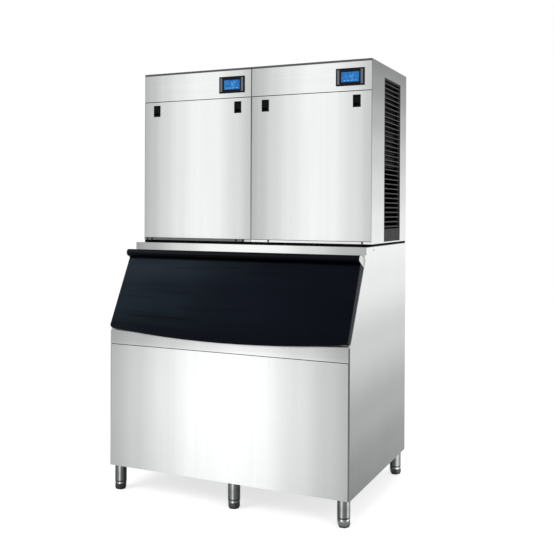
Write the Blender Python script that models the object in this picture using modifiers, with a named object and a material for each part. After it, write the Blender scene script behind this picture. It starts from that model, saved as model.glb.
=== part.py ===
"""Cube ice machine: two ice-making heads side by side on an insulated storage bin.

Metres, +Z up. X runs along the front, Y from front to back. The origin lies on the floor
under the middle of the machine's bounding box.
"""

from math import atan2, cos, hypot, pi, radians, sin

import bmesh
import bpy
from mathutils import Matrix, Vector

# Sheet and fits: GAP parts pieces that touch, LAP is how far joined forms run into each other,
# PAST is how far a cutter runs out of what it cuts, and HAIR keeps two faces from just meeting
SHEET = 0.0012
GAP = 0.0003
SEAM = 0.0010
LAP = 0.0010
PAST = 0.0200
HAIR = 0.0001

# Storage bin, heights from its underside, depths from its front panel
BIN_WIDTH = 1.220
BIN_HEIGHT = 1.067
SILL_HEIGHT = 0.646
SILL_BAND = 0.061
PANEL_GAP = 0.002
RAIL_HEIGHT = 0.033
RAIL_SETBACK = 0.215
EDGE_FLANGE = 0.006
SILL_FLANGE = 0.012
DECK_STRIP = 0.058

# Insulation and liner
BIN_WALL = 0.045
BIN_FLOOR = 0.050
BIN_TOP_FOAM = 0.040
SLOPE_FOAM = 0.033
THROAT_SIDE_LEDGE = 0.010
THROAT_SILL_LEDGE = 0.036
THROAT_TOP_LEDGE = 0.072
LINER_SHEET = 0.0015
DRAIN_RADIUS = 0.011
DRAIN_WALL = 0.0025
DRAIN_HEIGHT = 0.075
DRAIN_REACH = 0.022
DRAIN_HOLE_GAP = 0.002

# Lid, in a frame that lies on the slope: x along the front, s up the slope, d out of it
HINGE_DROP = 0.0488
HINGE_OUT = 0.056
LID_END_CLEARANCE = 0.004
LID_SKIN = 0.003
LID_RIM_LIFT = 0.0006
LID_TOP_DEPTH = 0.040
LID_FOOT_DEPTH = 0.026
LID_PAST_HINGE = 0.004
LIP_DROP = 0.025
LIP_BOW = 0.036
LIP_RETURN = 0.009
LIP_OPEN_FROM = 0.014
LID_CORNER = 0.014
LID_EDGE_RADIUS = 0.006
BARREL_RADIUS = 0.017
BARREL_NECK = 0.011
ROD_RADIUS = 0.005
EAR_SHEET = 0.003
EAR_FOOT = 0.026
EAR_TOE = 0.016
PAN_SHEET = 0.002
PAN_PLUG_DEPTH = 0.012
PAN_PLUG_EDGE = 0.014

# Legs and feet
LEG_HEIGHT = 0.120
LEG_RADIUS = 0.0285
LEG_INSET = 0.038
MIDDLE_LEG_OFFSET = 0.045
FOOT_HEIGHT = 0.038
FOOT_COLLAR_RADIUS = 0.0275
FOOT_COLLAR = 0.008
FOOT_GROOVE = 0.0025
FOOT_NUT_RADIUS = 0.0300
FOOT_BASE_RADIUS = 0.0235
FOOT_TAPER = 0.012
FOOT_STEM_RADIUS = 0.008
FOOT_STEM_LENGTH = 0.062
FOOT_STEM_CLEARANCE = 0.004

# Heads, heights from the gasket, depths from their own front
GASKET_HEIGHT = 0.011
GASKET_WIDTH = 0.014
GASKET_INSET = 0.002
HEAD_SETBACK = 0.288
HEAD_HEIGHT = 0.847
HEAD_SPACING = 0.002
BASE_STRIP = 0.012
DOOR_HEIGHT = 0.689
PANEL_RETURN = 0.015
DOOR_RETURN = 0.022
DOOR_SIDE_GAP = 0.0008
DOOR_INNER_GAP = 0.004
DOOR_TOP_GAP = 0.0025
COVER_LIP = 0.009

# Ice drop through the head's base and the bin's top
DROP_FRONT = 0.045
DROP_DEPTH = 0.130
DROP_SIDE_LEDGE = 0.022
CHUTE_MARGIN = 0.006

# Ice-making compartment, and the space for machinery beside and behind it
PARTITION = 0.012
MACHINE_WIDTH = 0.200
ICE_DEPTH = 0.262
REAR_DEPTH = 0.300
PARTITION_HEIGHT = 0.800

# Evaporator
CELL_COLUMNS = 7
CELL_ROWS = 9
CELL_PITCH = 0.036
CELL_WALL = 0.003
CELL_DEPTH = 0.022
EVAPORATOR_DEPTH = 0.034
EVAPORATOR_FOOT = 0.300
EVAPORATOR_STANDOFF = 0.026
STANDOFF_RADIUS = 0.008
STANDOFF_ACROSS = 0.35
STANDOFF_UP = 0.35
SIDE_PLATE = 0.007
SIDE_PLATE_EDGE = 0.006
SIDE_PLATE_LIP = 0.010
SIDE_PLATE_NECK = 0.040
DISTRIBUTOR_RADIUS = 0.011
DISTRIBUTOR_RISE = 0.022
DISTRIBUTOR_SETBACK = 0.006

# Water curtain
CURTAIN_SHEET = 0.003
CURTAIN_FORWARD = 0.032
CURTAIN_RISE = 0.030
CURTAIN_FOOT_GAP = 0.022
CURTAIN_SIDE_GAP = 0.001
PIN_RADIUS = 0.004
PIN_REACH = 0.006
PIN_EAR = 0.011
RIB_HALF_WIDTH = 0.004
RIB_DEPTH = 0.005
RIB_PLACE = 0.6

# Water trough and pump
TROUGH_WALL = 0.003
TROUGH_HEIGHT = 0.070
TROUGH_FOOT = 0.165
TROUGH_END_GAP = 0.012
TROUGH_SIDE_GAP = 0.004
TROUGH_REACH = 0.006
PUMP_RADIUS = 0.024
PUMP_RISE = 0.045
PUMP_EDGE = 0.004

# Condenser and fan
COIL_DEPTH = 0.040
COIL_HEIGHT = 0.420
COIL_FOOT = 0.365
COIL_FINS = 14
COIL_FIN_SLOT = 0.012
COIL_FIN_DEPTH = 0.012
COIL_GAP = 0.004
SHROUD_DEPTH = 0.030
SHROUD_WALL = 0.003
FAN_RADIUS = 0.108
FAN_TIP_GAP = 0.006
FAN_BLADES = 5
FAN_BLADE_COVER = 0.62
FAN_HUB_RADIUS = 0.026
FAN_HUB_DEPTH = 0.024
FAN_BLADE_SHEET = 0.0016
FAN_FACE_GAP = 0.002
FAN_BORE_END = 0.003
MOTOR_RADIUS = 0.042
MOTOR_DEPTH = 0.060
MOTOR_GAP = 0.012
MOTOR_SHAFT_RADIUS = 0.004
STRUT_HALF_WIDTH = 0.006
STRUT_SHEET = 0.004

# Compressor
COMPRESSOR_RADIUS = 0.092
COMPRESSOR_HEIGHT = 0.270
COMPRESSOR_DOME = 0.051
COMPRESSOR_SEAM = 0.151
COMPRESSOR_BEAD = 0.005
COMPRESSOR_CROWN = 0.030
COMPRESSOR_CROWN_RADIUS = 0.078
COMPRESSOR_BASE = 0.014
COMPRESSOR_SIDE_GAP = 0.040
COMPRESSOR_PLATE = 0.0045
GROMMET_RADIUS = 0.011
GROMMET_PLACE = 0.075

# Electrical box
BOX_DEPTH = 0.140
BOX_FOOT = 0.420
BOX_HEIGHT = 0.300
BOX_FRONT = 0.040
BOX_SIDE_GAP = 0.005

# Rear of a head: exhaust slots for the fan's air, and the water and drain fittings
EXHAUST_FOOT = 0.400
EXHAUST_SLOTS = 7
EXHAUST_PITCH = 0.048
EXHAUST_SLOT = 0.016
EXHAUST_WIDTH = 0.130
EXHAUST_EDGE = 0.095
FITTING_RADIUS = 0.0105
FITTING_NUT_RADIUS = 0.0160
FITTING_REACH = 0.016
FITTING_HEIGHT = 0.120
FITTING_SPACING = 0.060
FITTING_EDGE = 0.060

# Side grille
GRILLE_FRONT = 0.192
GRILLE_WIDTH = 0.273
GRILLE_FOOT = 0.006
GRILLE_HEIGHT = 0.781
GRILLE_PLAIN = 0.060
GRILLE_FRAME = 0.010
GRILLE_DEPTH = 0.014
GRILLE_RECESS = 0.001
LOUVRES = 31
LOUVRE_SHEET = 0.0040
LOUVRE_SETBACK = 0.002
LOUVRE_TILT = radians(18)

# Display
DISPLAY_EDGE = 0.036
DISPLAY_RISE = 0.0665
DISPLAY_WIDTH = 0.139
DISPLAY_HEIGHT = 0.081
DISPLAY_PROUD = 0.004
DISPLAY_BODY_DEPTH = 0.018
DISPLAY_BODY_EDGE = 0.006
SCREEN_WIDTH = 0.090
SCREEN_HEIGHT = 0.054
SCREEN_RECESS = 0.0015
SCREEN_SHEET = 0.003
KEY_STRIP_WIDTH = 0.013
KEY_STRIP_EDGE = 0.0073
KEY_STRIP_PROUD = 0.0008

# Latches
LATCH_EDGE = 0.0735
LATCH_DROP = 0.0450
LATCH_WIDTH = 0.037
LATCH_HEIGHT = 0.057
LATCH_PROUD = 0.003
LATCH_EDGE_RADIUS = 0.001
LATCH_BODY_WIDTH = 0.0296
LATCH_BODY_HEIGHT = 0.048
LATCH_BODY_DEPTH = 0.018
LATCH_WALL = 0.0018
PADDLE_SHEET = 0.0030
PADDLE_TOP = 0.0028
PADDLE_PIN_RADIUS = 0.0015
PADDLE_PIN_DROP = 0.0055
PADDLE_FINGER_GAP = 0.0125
PADDLE_BOSS = 0.0024

# Values that follow from the sizes above
SKIN = SHEET + GAP
PANEL_SEAM_HEIGHT = SILL_HEIGHT - SILL_BAND
RAIL_BOTTOM = BIN_HEIGHT - RAIL_HEIGHT
SLOPE_RISE = RAIL_BOTTOM - SILL_HEIGHT
SLOPE_LENGTH = hypot(RAIL_SETBACK, SLOPE_RISE)
SLOPE_ANGLE = atan2(SLOPE_RISE, RAIL_SETBACK)
HINGE_ALONG = SLOPE_LENGTH - HINGE_DROP
LIP_REACH = LIP_DROP * cos(SLOPE_ANGLE) + LID_FOOT_DEPTH * sin(SLOPE_ANGLE)
HEAD_DEPTH = ICE_DEPTH + PARTITION + REAR_DEPTH
BIN_DEPTH = HEAD_SETBACK + HEAD_DEPTH
FRONT_Y = (LIP_REACH - BIN_DEPTH - DRAIN_REACH) / 2
HALF_BIN = BIN_WIDTH / 2
HEAD_WIDTH = (BIN_WIDTH - HEAD_SPACING) / 2
HALF_HEAD = HEAD_WIDTH / 2
DOOR_TOP = BASE_STRIP + DOOR_HEIGHT
DISPLAY_X = HALF_HEAD - DISPLAY_EDGE - DISPLAY_WIDTH / 2
LATCH_X = HALF_HEAD - LATCH_EDGE
HALF_THROAT = HALF_BIN - BIN_WALL - THROAT_SIDE_LEDGE
LID_HALF_WIDTH = HALF_BIN - LID_END_CLEARANCE
TRAY_TOP = GAP + SHEET


def srgb(red, green, blue):
    """A screen colour from 0 to 1 as the linear colour that a material takes."""
    linear = [((c + 0.055) / 1.055) ** 2.4 if c > 0.04045 else c / 12.92 for c in (red, green, blue)]
    return (*linear, 1.0)


def material(name, colour, roughness, metallic=0.0):
    made = bpy.data.materials.new(name)
    made.use_nodes = True
    shader = made.node_tree.nodes["Principled BSDF"]
    shader.inputs["Base Color"].default_value = colour
    shader.inputs["Roughness"].default_value = roughness
    shader.inputs["Metallic"].default_value = metallic
    made.diffuse_color = colour
    return made


def new_collection(name):
    made = bpy.data.collections.new(name)
    bpy.context.scene.collection.children.link(made)
    return made


def empty(name, parent, location=(0, 0, 0), rotation=(0, 0, 0)):
    made = bpy.data.objects.new(name, None)
    made.empty_display_size = 0.05
    made.location = location
    made.rotation_euler = rotation
    made.parent = parent
    PARTS.objects.link(made)
    return made


def add(name, mesh, parent, finish, location=(0, 0, 0), rotation=(0, 0, 0)):
    """Links a mesh as a part, or as a hidden cutter where its finish is None."""
    made = bpy.data.objects.new(name, mesh)
    made.location = location
    made.rotation_euler = rotation
    made.parent = parent
    if finish is None:
        CUTTERS.objects.link(made)
        made.hide_render = True
        made.display_type = "WIRE"
    else:
        PARTS.objects.link(made)
        own = finish.copy()
        own.name = name
        mesh.materials.append(own)
    return made


def mesh_from(bm, name):
    mesh = bpy.data.meshes.new(name)
    bm.to_mesh(mesh)
    bm.free()
    return mesh


def block(name, low, high, parent, finish=None):
    """A box between two corners of its parent's frame."""
    size = [h - l for l, h in zip(low, high)]
    middle = [(l + h) / 2 for l, h in zip(low, high)]
    bm = bmesh.new()
    bmesh.ops.create_cube(bm, size=1.0)
    bmesh.ops.scale(bm, vec=size, verts=bm.verts)
    return add(name, mesh_from(bm, name), parent, finish, middle)


def pan(name, low, high, open_sides, parent, finish=None, thickness=SHEET):
    """A sheet box between two corners, without the sides whose outward directions are given."""
    made = block(name, low, high, parent, finish)
    bm = bmesh.new()
    bm.from_mesh(made.data)
    bm.normal_update()
    gone = [f for f in bm.faces if any(f.normal.dot(Vector(side)) > 0.9 for side in open_sides)]
    bmesh.ops.delete(bm, geom=gone, context="FACES")
    bm.to_mesh(made.data)
    bm.free()
    thicken(made, thickness)
    return made


def thicken(made, thickness):
    """Gives an open surface its thickness, on the side away from its normals."""
    solidify = made.modifiers.new("sheet", "SOLIDIFY")
    solidify.thickness = thickness
    solidify.offset = -1.0
    solidify.use_even_offset = True


def rod(name, radius, start, end, parent, finish=None, sides=20):
    """A round bar between two points of its parent's frame."""
    along = Vector(end) - Vector(start)
    bm = bmesh.new()
    bmesh.ops.create_cone(
        bm, cap_ends=True, segments=sides, radius1=radius, radius2=radius, depth=along.length
    )
    turn = along.to_track_quat("Z", "Y").to_matrix()
    bmesh.ops.rotate(bm, cent=(0, 0, 0), matrix=turn, verts=bm.verts)
    made = add(name, mesh_from(bm, name), parent, finish, (Vector(start) + Vector(end)) / 2)
    smooth(made)
    return made


def turned(name, profile, parent, finish=None, location=(0, 0, 0), sides=16):
    """A turned piece from its outline of (radius, height), from the top down."""
    bm = bmesh.new()
    points = [bm.verts.new((radius, 0, height)) for radius, height in profile]
    for first, second in zip(points, points[1:]):
        bm.edges.new((first, second))
    made = add(name, mesh_from(bm, name), parent, finish, location)
    screw = made.modifiers.new("turn", "SCREW")
    screw.steps = sides
    screw.render_steps = sides
    screw.use_merge_vertices = True
    screw.merge_threshold = 0.00001
    smooth(made)
    return made


def plate(name, outline, thickness, parent, finish=None, location=(0, 0, 0), rotation=(0, 0, 0)):
    """A flat outline in its own XY plane, thickened both ways along its Z."""
    curve = bpy.data.curves.new(name, "CURVE")
    curve.dimensions = "2D"
    curve.fill_mode = "BOTH"
    curve.extrude = thickness / 2
    spline = curve.splines.new("POLY")
    spline.points.add(len(outline) - 1)
    for point, (x, y) in zip(spline.points, outline):
        point.co = (x, y, 0, 1)
    spline.use_cyclic_u = True
    drawn = bpy.data.objects.new(name, curve)
    PARTS.objects.link(drawn)
    filled = drawn.evaluated_get(bpy.context.evaluated_depsgraph_get())
    mesh = bpy.data.meshes.new_from_object(filled)
    bpy.data.objects.remove(drawn)
    bm = bmesh.new()
    bm.from_mesh(mesh)
    bmesh.ops.remove_doubles(bm, verts=bm.verts, dist=0.00001)
    bmesh.ops.dissolve_limit(bm, angle_limit=radians(0.5), verts=bm.verts, edges=bm.edges)
    bmesh.ops.recalc_face_normals(bm, faces=bm.faces)
    bm.to_mesh(mesh)
    bm.free()
    mesh.materials.clear()
    return add(name, mesh, parent, finish, location, rotation)


def side_plate(name, outline, thickness, parent, finish=None, x=0.0):
    """A plate whose outline is (depth, height), centred on x."""
    return plate(name, outline, thickness, parent, finish, (x, 0, 0), (pi / 2, 0, pi / 2))


def folded(name, outline, half_width, parent, finish=None):
    """A sheet folded along a line of (depth, height) points, its thickness to the right of the line."""
    bm = bmesh.new()
    line = [bm.verts.new((-half_width, depth, height)) for depth, height in outline]
    edges = [bm.edges.new(pair) for pair in zip(line, line[1:])]
    swept = bmesh.ops.extrude_edge_only(bm, edges=edges)["geom"]
    moved = [v for v in swept if isinstance(v, bmesh.types.BMVert)]
    bmesh.ops.translate(bm, vec=(2 * half_width, 0, 0), verts=moved)
    bm.normal_update()
    first = bm.faces[:][0]
    along = Vector(outline[1]) - Vector(outline[0])
    right = Vector((0, along.y, -along.x))
    if first.normal.dot(right) > 0:
        bmesh.ops.reverse_faces(bm, faces=bm.faces)
    made = add(name, mesh_from(bm, name), parent, finish)
    thicken(made, SHEET)
    return made


def smooth(made, angle=radians(40)):
    made.data.shade_smooth()
    made.data.set_sharp_from_angle(angle=angle)


def bevel(made, width, segments=2, angle=radians(60)):
    rounding = made.modifiers.new("edge", "BEVEL")
    rounding.width = width
    rounding.segments = segments
    rounding.limit_method = "ANGLE"
    rounding.angle_limit = angle


def boolean(made, operation, tools):
    for tool in tools:
        step = made.modifiers.new(operation.lower(), "BOOLEAN")
        step.operation = operation
        step.solver = "EXACT"
        step.object = tool


def cut(made, *tools):
    boolean(made, "DIFFERENCE", tools)


def join(made, *tools):
    boolean(made, "UNION", tools)


def arc(centre, radius, start, end, steps):
    """Points along an arc, its angles in radians."""
    angles = [start + (end - start) * i / steps for i in range(steps + 1)]
    return [(centre[0] + radius * cos(a), centre[1] + radius * sin(a)) for a in angles]


def bin_outline(front, slope, rail, top, back, bottom):
    """The bin's side outline as (depth, height), each edge moved inwards by its own distance.

    A rail of None runs the slope straight up to the top.
    """
    slope_in = (sin(SLOPE_ANGLE), -cos(SLOPE_ANGLE))
    lines = [
        ((1, 0), front),
        (slope_in, slope - SILL_HEIGHT * cos(SLOPE_ANGLE)),
        ((1, 0), RAIL_SETBACK + (rail or 0)),
        ((0, -1), top - BIN_HEIGHT),
        ((-1, 0), back - BIN_DEPTH),
        ((0, 1), bottom),
    ]
    if rail is None:
        del lines[2]
    corners = []
    for ((a, b), c), ((d, e), f) in zip(lines, lines[1:] + lines[:1]):
        det = a * e - b * d
        corners.append(((c * e - b * f) / det, (a * f - c * d) / det))
    return corners


def bin_prism(name, insets, half_width, finish=None):
    return side_plate(name, bin_outline(*insets), 2 * half_width, CABINET, finish)


def chute_blocks(name, margin, low, high):
    """The two ice chutes, one under each head, between two heights of the bin."""
    near = HEAD_SPACING / 2 + SHEET + DROP_SIDE_LEDGE - margin
    far = HEAD_SPACING / 2 + HEAD_WIDTH - MACHINE_WIDTH - PARTITION - DROP_SIDE_LEDGE + margin
    front = HEAD_SETBACK + DROP_FRONT - margin
    back = HEAD_SETBACK + DROP_FRONT + DROP_DEPTH + margin
    right = block(name + "_right", (near, front, low), (far, back, high), CABINET)
    left = block(name + "_left", (-far, front, low), (-near, back, high), CABINET)
    return right, left


def build_shell():
    """Outer steel wrap: sides, back and bottom, with narrow flanges round the open front."""
    shell = bin_prism("bin_shell", (0, 0, SKIN, SKIN, 0, 0), HALF_BIN, STEEL)
    inside = (SHEET, SHEET, SKIN + SHEET, -PAST, SHEET, SHEET)
    hollow = bin_prism("shell_hollow", inside, HALF_BIN - SHEET)
    clear = HALF_BIN - EDGE_FLANGE
    front = block("shell_front", (-clear, -PAST, -PAST), (clear, SKIN, SILL_HEIGHT + PAST), CABINET)
    slope = block("shell_slope", (-clear, -PAST, -SKIN), (clear, SLOPE_LENGTH, PAST), SLOPE)
    tip = block(
        "shell_tip", (-BIN_WIDTH, BIN_WALL, RAIL_BOTTOM - SHEET),
        (BIN_WIDTH, RAIL_SETBACK + SKIN - HAIR, BIN_HEIGHT + PAST), CABINET,
    )
    drain = rod(
        "shell_drain", DRAIN_RADIUS + DRAIN_HOLE_GAP,
        (0, BIN_DEPTH - BIN_WALL, DRAIN_HEIGHT), (0, BIN_DEPTH + PAST, DRAIN_HEIGHT), CABINET,
    )
    cut(shell, hollow, front, slope, tip, drain)


def build_insulation():
    """Foamed-in-place tub between the shell and the liner."""
    foam_insets = (SKIN, SKIN, 2 * SKIN, SKIN, SKIN, SKIN)
    foam = bin_prism("bin_insulation", foam_insets, HALF_BIN - SKIN, FOAM)
    cavity_insets = (BIN_WALL, SLOPE_FOAM, None, BIN_TOP_FOAM, BIN_WALL, BIN_FLOOR)
    cavity = bin_prism("foam_cavity", cavity_insets, HALF_BIN - BIN_WALL)
    throat = block(
        "foam_throat", (-HALF_THROAT, THROAT_SILL_LEDGE, -SLOPE_FOAM - PAST),
        (HALF_THROAT, SLOPE_LENGTH - THROAT_TOP_LEDGE, PAST), SLOPE,
    )
    roof = BIN_HEIGHT - BIN_TOP_FOAM
    chutes = chute_blocks("foam_chute", CHUTE_MARGIN, roof - PAST, BIN_HEIGHT + PAST)
    drain = rod(
        "foam_drain", DRAIN_RADIUS + GAP,
        (0, BIN_DEPTH - BIN_WALL - PAST, DRAIN_HEIGHT), (0, BIN_DEPTH + PAST, DRAIN_HEIGHT), CABINET,
    )
    cut(foam, cavity, throat, *chutes, drain)


def build_liner():
    """Moulded liner: the ice store, its throat and flange under the lid, the chutes and the drain."""
    wall = GAP + LINER_SHEET

    def store(name, more, finish=None):
        side = BIN_WALL + more
        insets = (side, SLOPE_FOAM + more, None, BIN_TOP_FOAM + more, side, BIN_FLOOR + more)
        return bin_prism(name, insets, HALF_BIN - side, finish)

    def throat(name, less, low, high):
        return block(
            name, (-HALF_THROAT + less, THROAT_SILL_LEDGE + less, low),
            (HALF_THROAT - less, SLOPE_LENGTH - THROAT_TOP_LEDGE - less, high), SLOPE,
        )

    liner = store("bin_liner", GAP, LINER)
    flange_half = HALF_BIN - EDGE_FLANGE - SEAM / 2
    flange = block(
        "liner_flange", (-flange_half, SILL_FLANGE + SEAM, -SHEET),
        (flange_half, SLOPE_LENGTH - DECK_STRIP - SEAM, 0), SLOPE,
    )
    deep = -SLOPE_FOAM - PAST / 2
    roof = BIN_HEIGHT - BIN_TOP_FOAM
    outlet_start = BIN_DEPTH - BIN_WALL - 4 * LAP
    outlet_end = BIN_DEPTH + DRAIN_REACH
    outlet = rod(
        "liner_outlet", DRAIN_RADIUS, (0, outlet_start, DRAIN_HEIGHT), (0, outlet_end, DRAIN_HEIGHT), CABINET
    )
    outlet_bore = rod(
        "liner_outlet_bore", DRAIN_RADIUS - DRAIN_WALL, (0, outlet_start - PAST, DRAIN_HEIGHT),
        (0, outlet_end + PAST, DRAIN_HEIGHT), CABINET,
    )
    chutes = chute_blocks("liner_chute", CHUTE_MARGIN - GAP, roof - PAST / 2, BIN_HEIGHT - SKIN)
    drops = chute_blocks("liner_drop", CHUTE_MARGIN - wall, roof - PAST, BIN_HEIGHT + PAST)
    join(liner, throat("liner_throat", GAP, deep, -SHEET / 2), flange, *chutes, outlet)
    way_in = throat("liner_way_in", wall, deep - PAST / 2, PAST)
    cut(liner, store("liner_hollow", wall), way_in, *drops, outlet_bore)


def build_bin_fronts():
    """Front panel, sill strip above it, and the deck with its front rail."""
    reach = HALF_BIN - EDGE_FLANGE - SEAM / 2
    block("bin_front_panel", (-reach, 0, 0), (reach, SHEET, PANEL_SEAM_HEIGHT - PANEL_GAP), CABINET, STEEL)

    def on_slope(along):
        return along * cos(SLOPE_ANGLE), SILL_HEIGHT + along * sin(SLOPE_ANGLE)

    sill_line = [(0, PANEL_SEAM_HEIGHT), (0, SILL_HEIGHT), on_slope(SILL_FLANGE)]
    folded("bin_sill", sill_line, reach, CABINET, STEEL)
    deck_line = [
        on_slope(SLOPE_LENGTH - DECK_STRIP),
        (RAIL_SETBACK, RAIL_BOTTOM),
        (RAIL_SETBACK, BIN_HEIGHT),
        (BIN_DEPTH, BIN_HEIGHT),
    ]
    deck = folded("bin_top_deck", deck_line, HALF_BIN, CABINET, STEEL)
    notches = [
        block(
            "deck_notch", (min(a, b), 0, SILL_HEIGHT),
            (max(a, b), RAIL_SETBACK + PAST / 2, RAIL_BOTTOM + GAP), CABINET,
        )
        for a, b in ((reach, HALF_BIN + PAST), (-reach, -HALF_BIN - PAST))
    ]
    drops = chute_blocks("deck_chute", CHUTE_MARGIN, BIN_HEIGHT - PAST, BIN_HEIGHT + PAST)
    cut(deck, *notches, *drops)


def build_gasket():
    """Foam strip on the deck, round the foot of each head."""
    low = BIN_HEIGHT + GAP
    high = BIN_HEIGHT + GASKET_HEIGHT - GAP
    front = HEAD_SETBACK + GASKET_INSET
    back = BIN_DEPTH - GASKET_INSET
    side = HALF_BIN - GASKET_INSET
    gasket = block("bin_gasket", (-side, front, low), (side, back, high), CABINET, RUBBER)
    inner = GASKET_WIDTH / 2
    outer = side - GASKET_WIDTH
    windows = [
        block(
            "gasket_window", (a, front + GASKET_WIDTH, low - PAST),
            (b, back - GASKET_WIDTH, high + PAST), CABINET,
        )
        for a, b in ((inner, outer), (-outer, -inner))
    ]
    cut(gasket, *windows)


def lid_outline(inset):
    """The lid seen square on, in the hinge's frame: a bowed foot with round corners."""
    half = LID_HALF_WIDTH - inset
    top = LID_PAST_HINGE - inset
    radius = LID_CORNER - inset
    foot = -(HINGE_ALONG + LIP_DROP) + inset
    steps = 12
    blend = 0.15
    side_foot = foot + LIP_BOW
    bowed = []
    for i in range(steps + 1):
        x = (half - radius) * (2 * i / steps - 1)
        bowed.append((x, foot + LIP_BOW * (x / half) ** 2))
    left = arc((-half + radius, side_foot + radius), radius, pi, 1.5 * pi - blend, 4)[:-1]
    right = arc((half - radius, side_foot + radius), radius, -0.5 * pi + blend, 0, 4)[1:]
    end = max(LID_EDGE_RADIUS - inset, SHEET)
    top_right = arc((half - end, top - end), end, 0, pi / 2, 3)
    top_left = arc((end - half, top - end), end, pi / 2, pi, 3)
    return left + bowed + right + top_right + top_left


def build_lid():
    """Moulded lid: a hollow outer shell with a hinge barrel, and the inner pan that closes it."""
    rim = LID_RIM_LIFT - HINGE_OUT
    deepest = LID_TOP_DEPTH - HINGE_OUT
    middle = (deepest + rim) / 2
    shell = plate("lid_shell", lid_outline(0), deepest - rim, LID, LID_PLASTIC, (0, 0, middle))
    slope = (LID_TOP_DEPTH - LID_FOOT_DEPTH) / HINGE_ALONG
    bm = bmesh.new()
    bm.from_mesh(shell.data)
    for vert in bm.verts:
        if vert.co.z > 0:
            vert.co.z += slope * vert.co.y
    bm.normal_update()
    under = [f for f in bm.faces if f.normal.z < -0.9]
    bmesh.ops.delete(bm, geom=under, context="FACES")
    bm.to_mesh(shell.data)
    bm.free()
    bevel(shell, LID_EDGE_RADIUS, 3)
    thicken(shell, LID_SKIN)
    barrel = rod("lid_barrel", BARREL_RADIUS, (-LID_HALF_WIDTH, 0, 0), (LID_HALF_WIDTH, 0, 0), LID)
    neck_foot = deepest - LID_SKIN / 2 - slope * BARREL_NECK
    neck = block(
        "lid_neck", (-LID_HALF_WIDTH + LAP, -BARREL_NECK, neck_foot),
        (LID_HALF_WIDTH - LAP, LID_PAST_HINGE - LID_SKIN / 2, 0), LID,
    )
    bore = rod("lid_bore", ROD_RADIUS + GAP, (-BIN_WIDTH, 0, 0), (BIN_WIDTH, 0, 0), LID, None, 16)
    lip_floor = LID_FOOT_DEPTH - LIP_RETURN - HINGE_OUT
    grip = block(
        "lid_grip", (-BIN_WIDTH, -BIN_HEIGHT, rim - PAST),
        (BIN_WIDTH, LIP_OPEN_FROM - HINGE_ALONG, lip_floor), LID,
    )
    join(shell, barrel, neck)
    cut(shell, bore, grip)
    smooth(shell)
    build_lid_pan(rim)


def build_lid_pan(rim):
    """Inner pan: a flat sheet inside the rim, pressed out to a plug that fills the throat."""
    middle = rim + PAN_SHEET / 2
    outline = lid_outline(LID_SKIN + GAP)
    inner = plate("lid_inner_pan", outline, PAN_SHEET, LID, LID_PLASTIC, (0, 0, middle))
    foot = block(
        "pan_foot", (-BIN_WIDTH, -BIN_HEIGHT, rim - PAST),
        (BIN_WIDTH, LIP_OPEN_FROM + SEAM - HINGE_ALONG, rim + PAST), LID,
    )
    low_s = -HINGE_ALONG + THROAT_SILL_LEDGE + PAN_PLUG_EDGE
    high_s = SLOPE_LENGTH - HINGE_ALONG - THROAT_TOP_LEDGE - PAN_PLUG_EDGE
    half = HALF_THROAT - PAN_PLUG_EDGE
    floor = rim - PAN_PLUG_DEPTH
    plug = block("pan_plug", (-half, low_s, floor), (half, high_s, middle), LID)
    hollow = block(
        "pan_hollow", (-half + PAN_SHEET, low_s + PAN_SHEET, floor + PAN_SHEET),
        (half - PAN_SHEET, high_s - PAN_SHEET, rim + PAST), LID,
    )
    cut(inner, foot)
    join(inner, plug)
    cut(inner, hollow)


def build_hinge_rod():
    """Steel rod through the lid's barrel, riveted into an ear at each end of the slope."""
    outer = LID_HALF_WIDTH + SEAM / 2 + EAR_SHEET
    hinge = rod("hinge_rod", ROD_RADIUS, (-outer, 0, 0), (outer, 0, 0), LID_FIXED, BRIGHT_STEEL, 16)
    base = GAP - HINGE_OUT
    round_top = arc((0, 0), BARREL_RADIUS - LAP, radians(-10), radians(190), 6)
    ear_line = [(-EAR_TOE, base), (EAR_FOOT, base)] + round_top
    ears = [
        side_plate("hinge_ear", ear_line, EAR_SHEET, LID_FIXED, None, side * (outer - EAR_SHEET / 2 - HAIR))
        for side in (-1, 1)
    ]
    join(hinge, *ears)


def build_legs():
    """Six legs under the bin, each with a levelling foot whose stem slides in the leg's bore."""
    columns = (
        ("left", -HALF_BIN + LEG_INSET), ("middle", MIDDLE_LEG_OFFSET), ("right", HALF_BIN - LEG_INSET)
    )
    rows = (("front", LEG_INSET), ("rear", BIN_DEPTH - LEG_INSET))
    for column, x in columns:
        for row, y in rows:
            build_leg(column + "_" + row, x, y)


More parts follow.
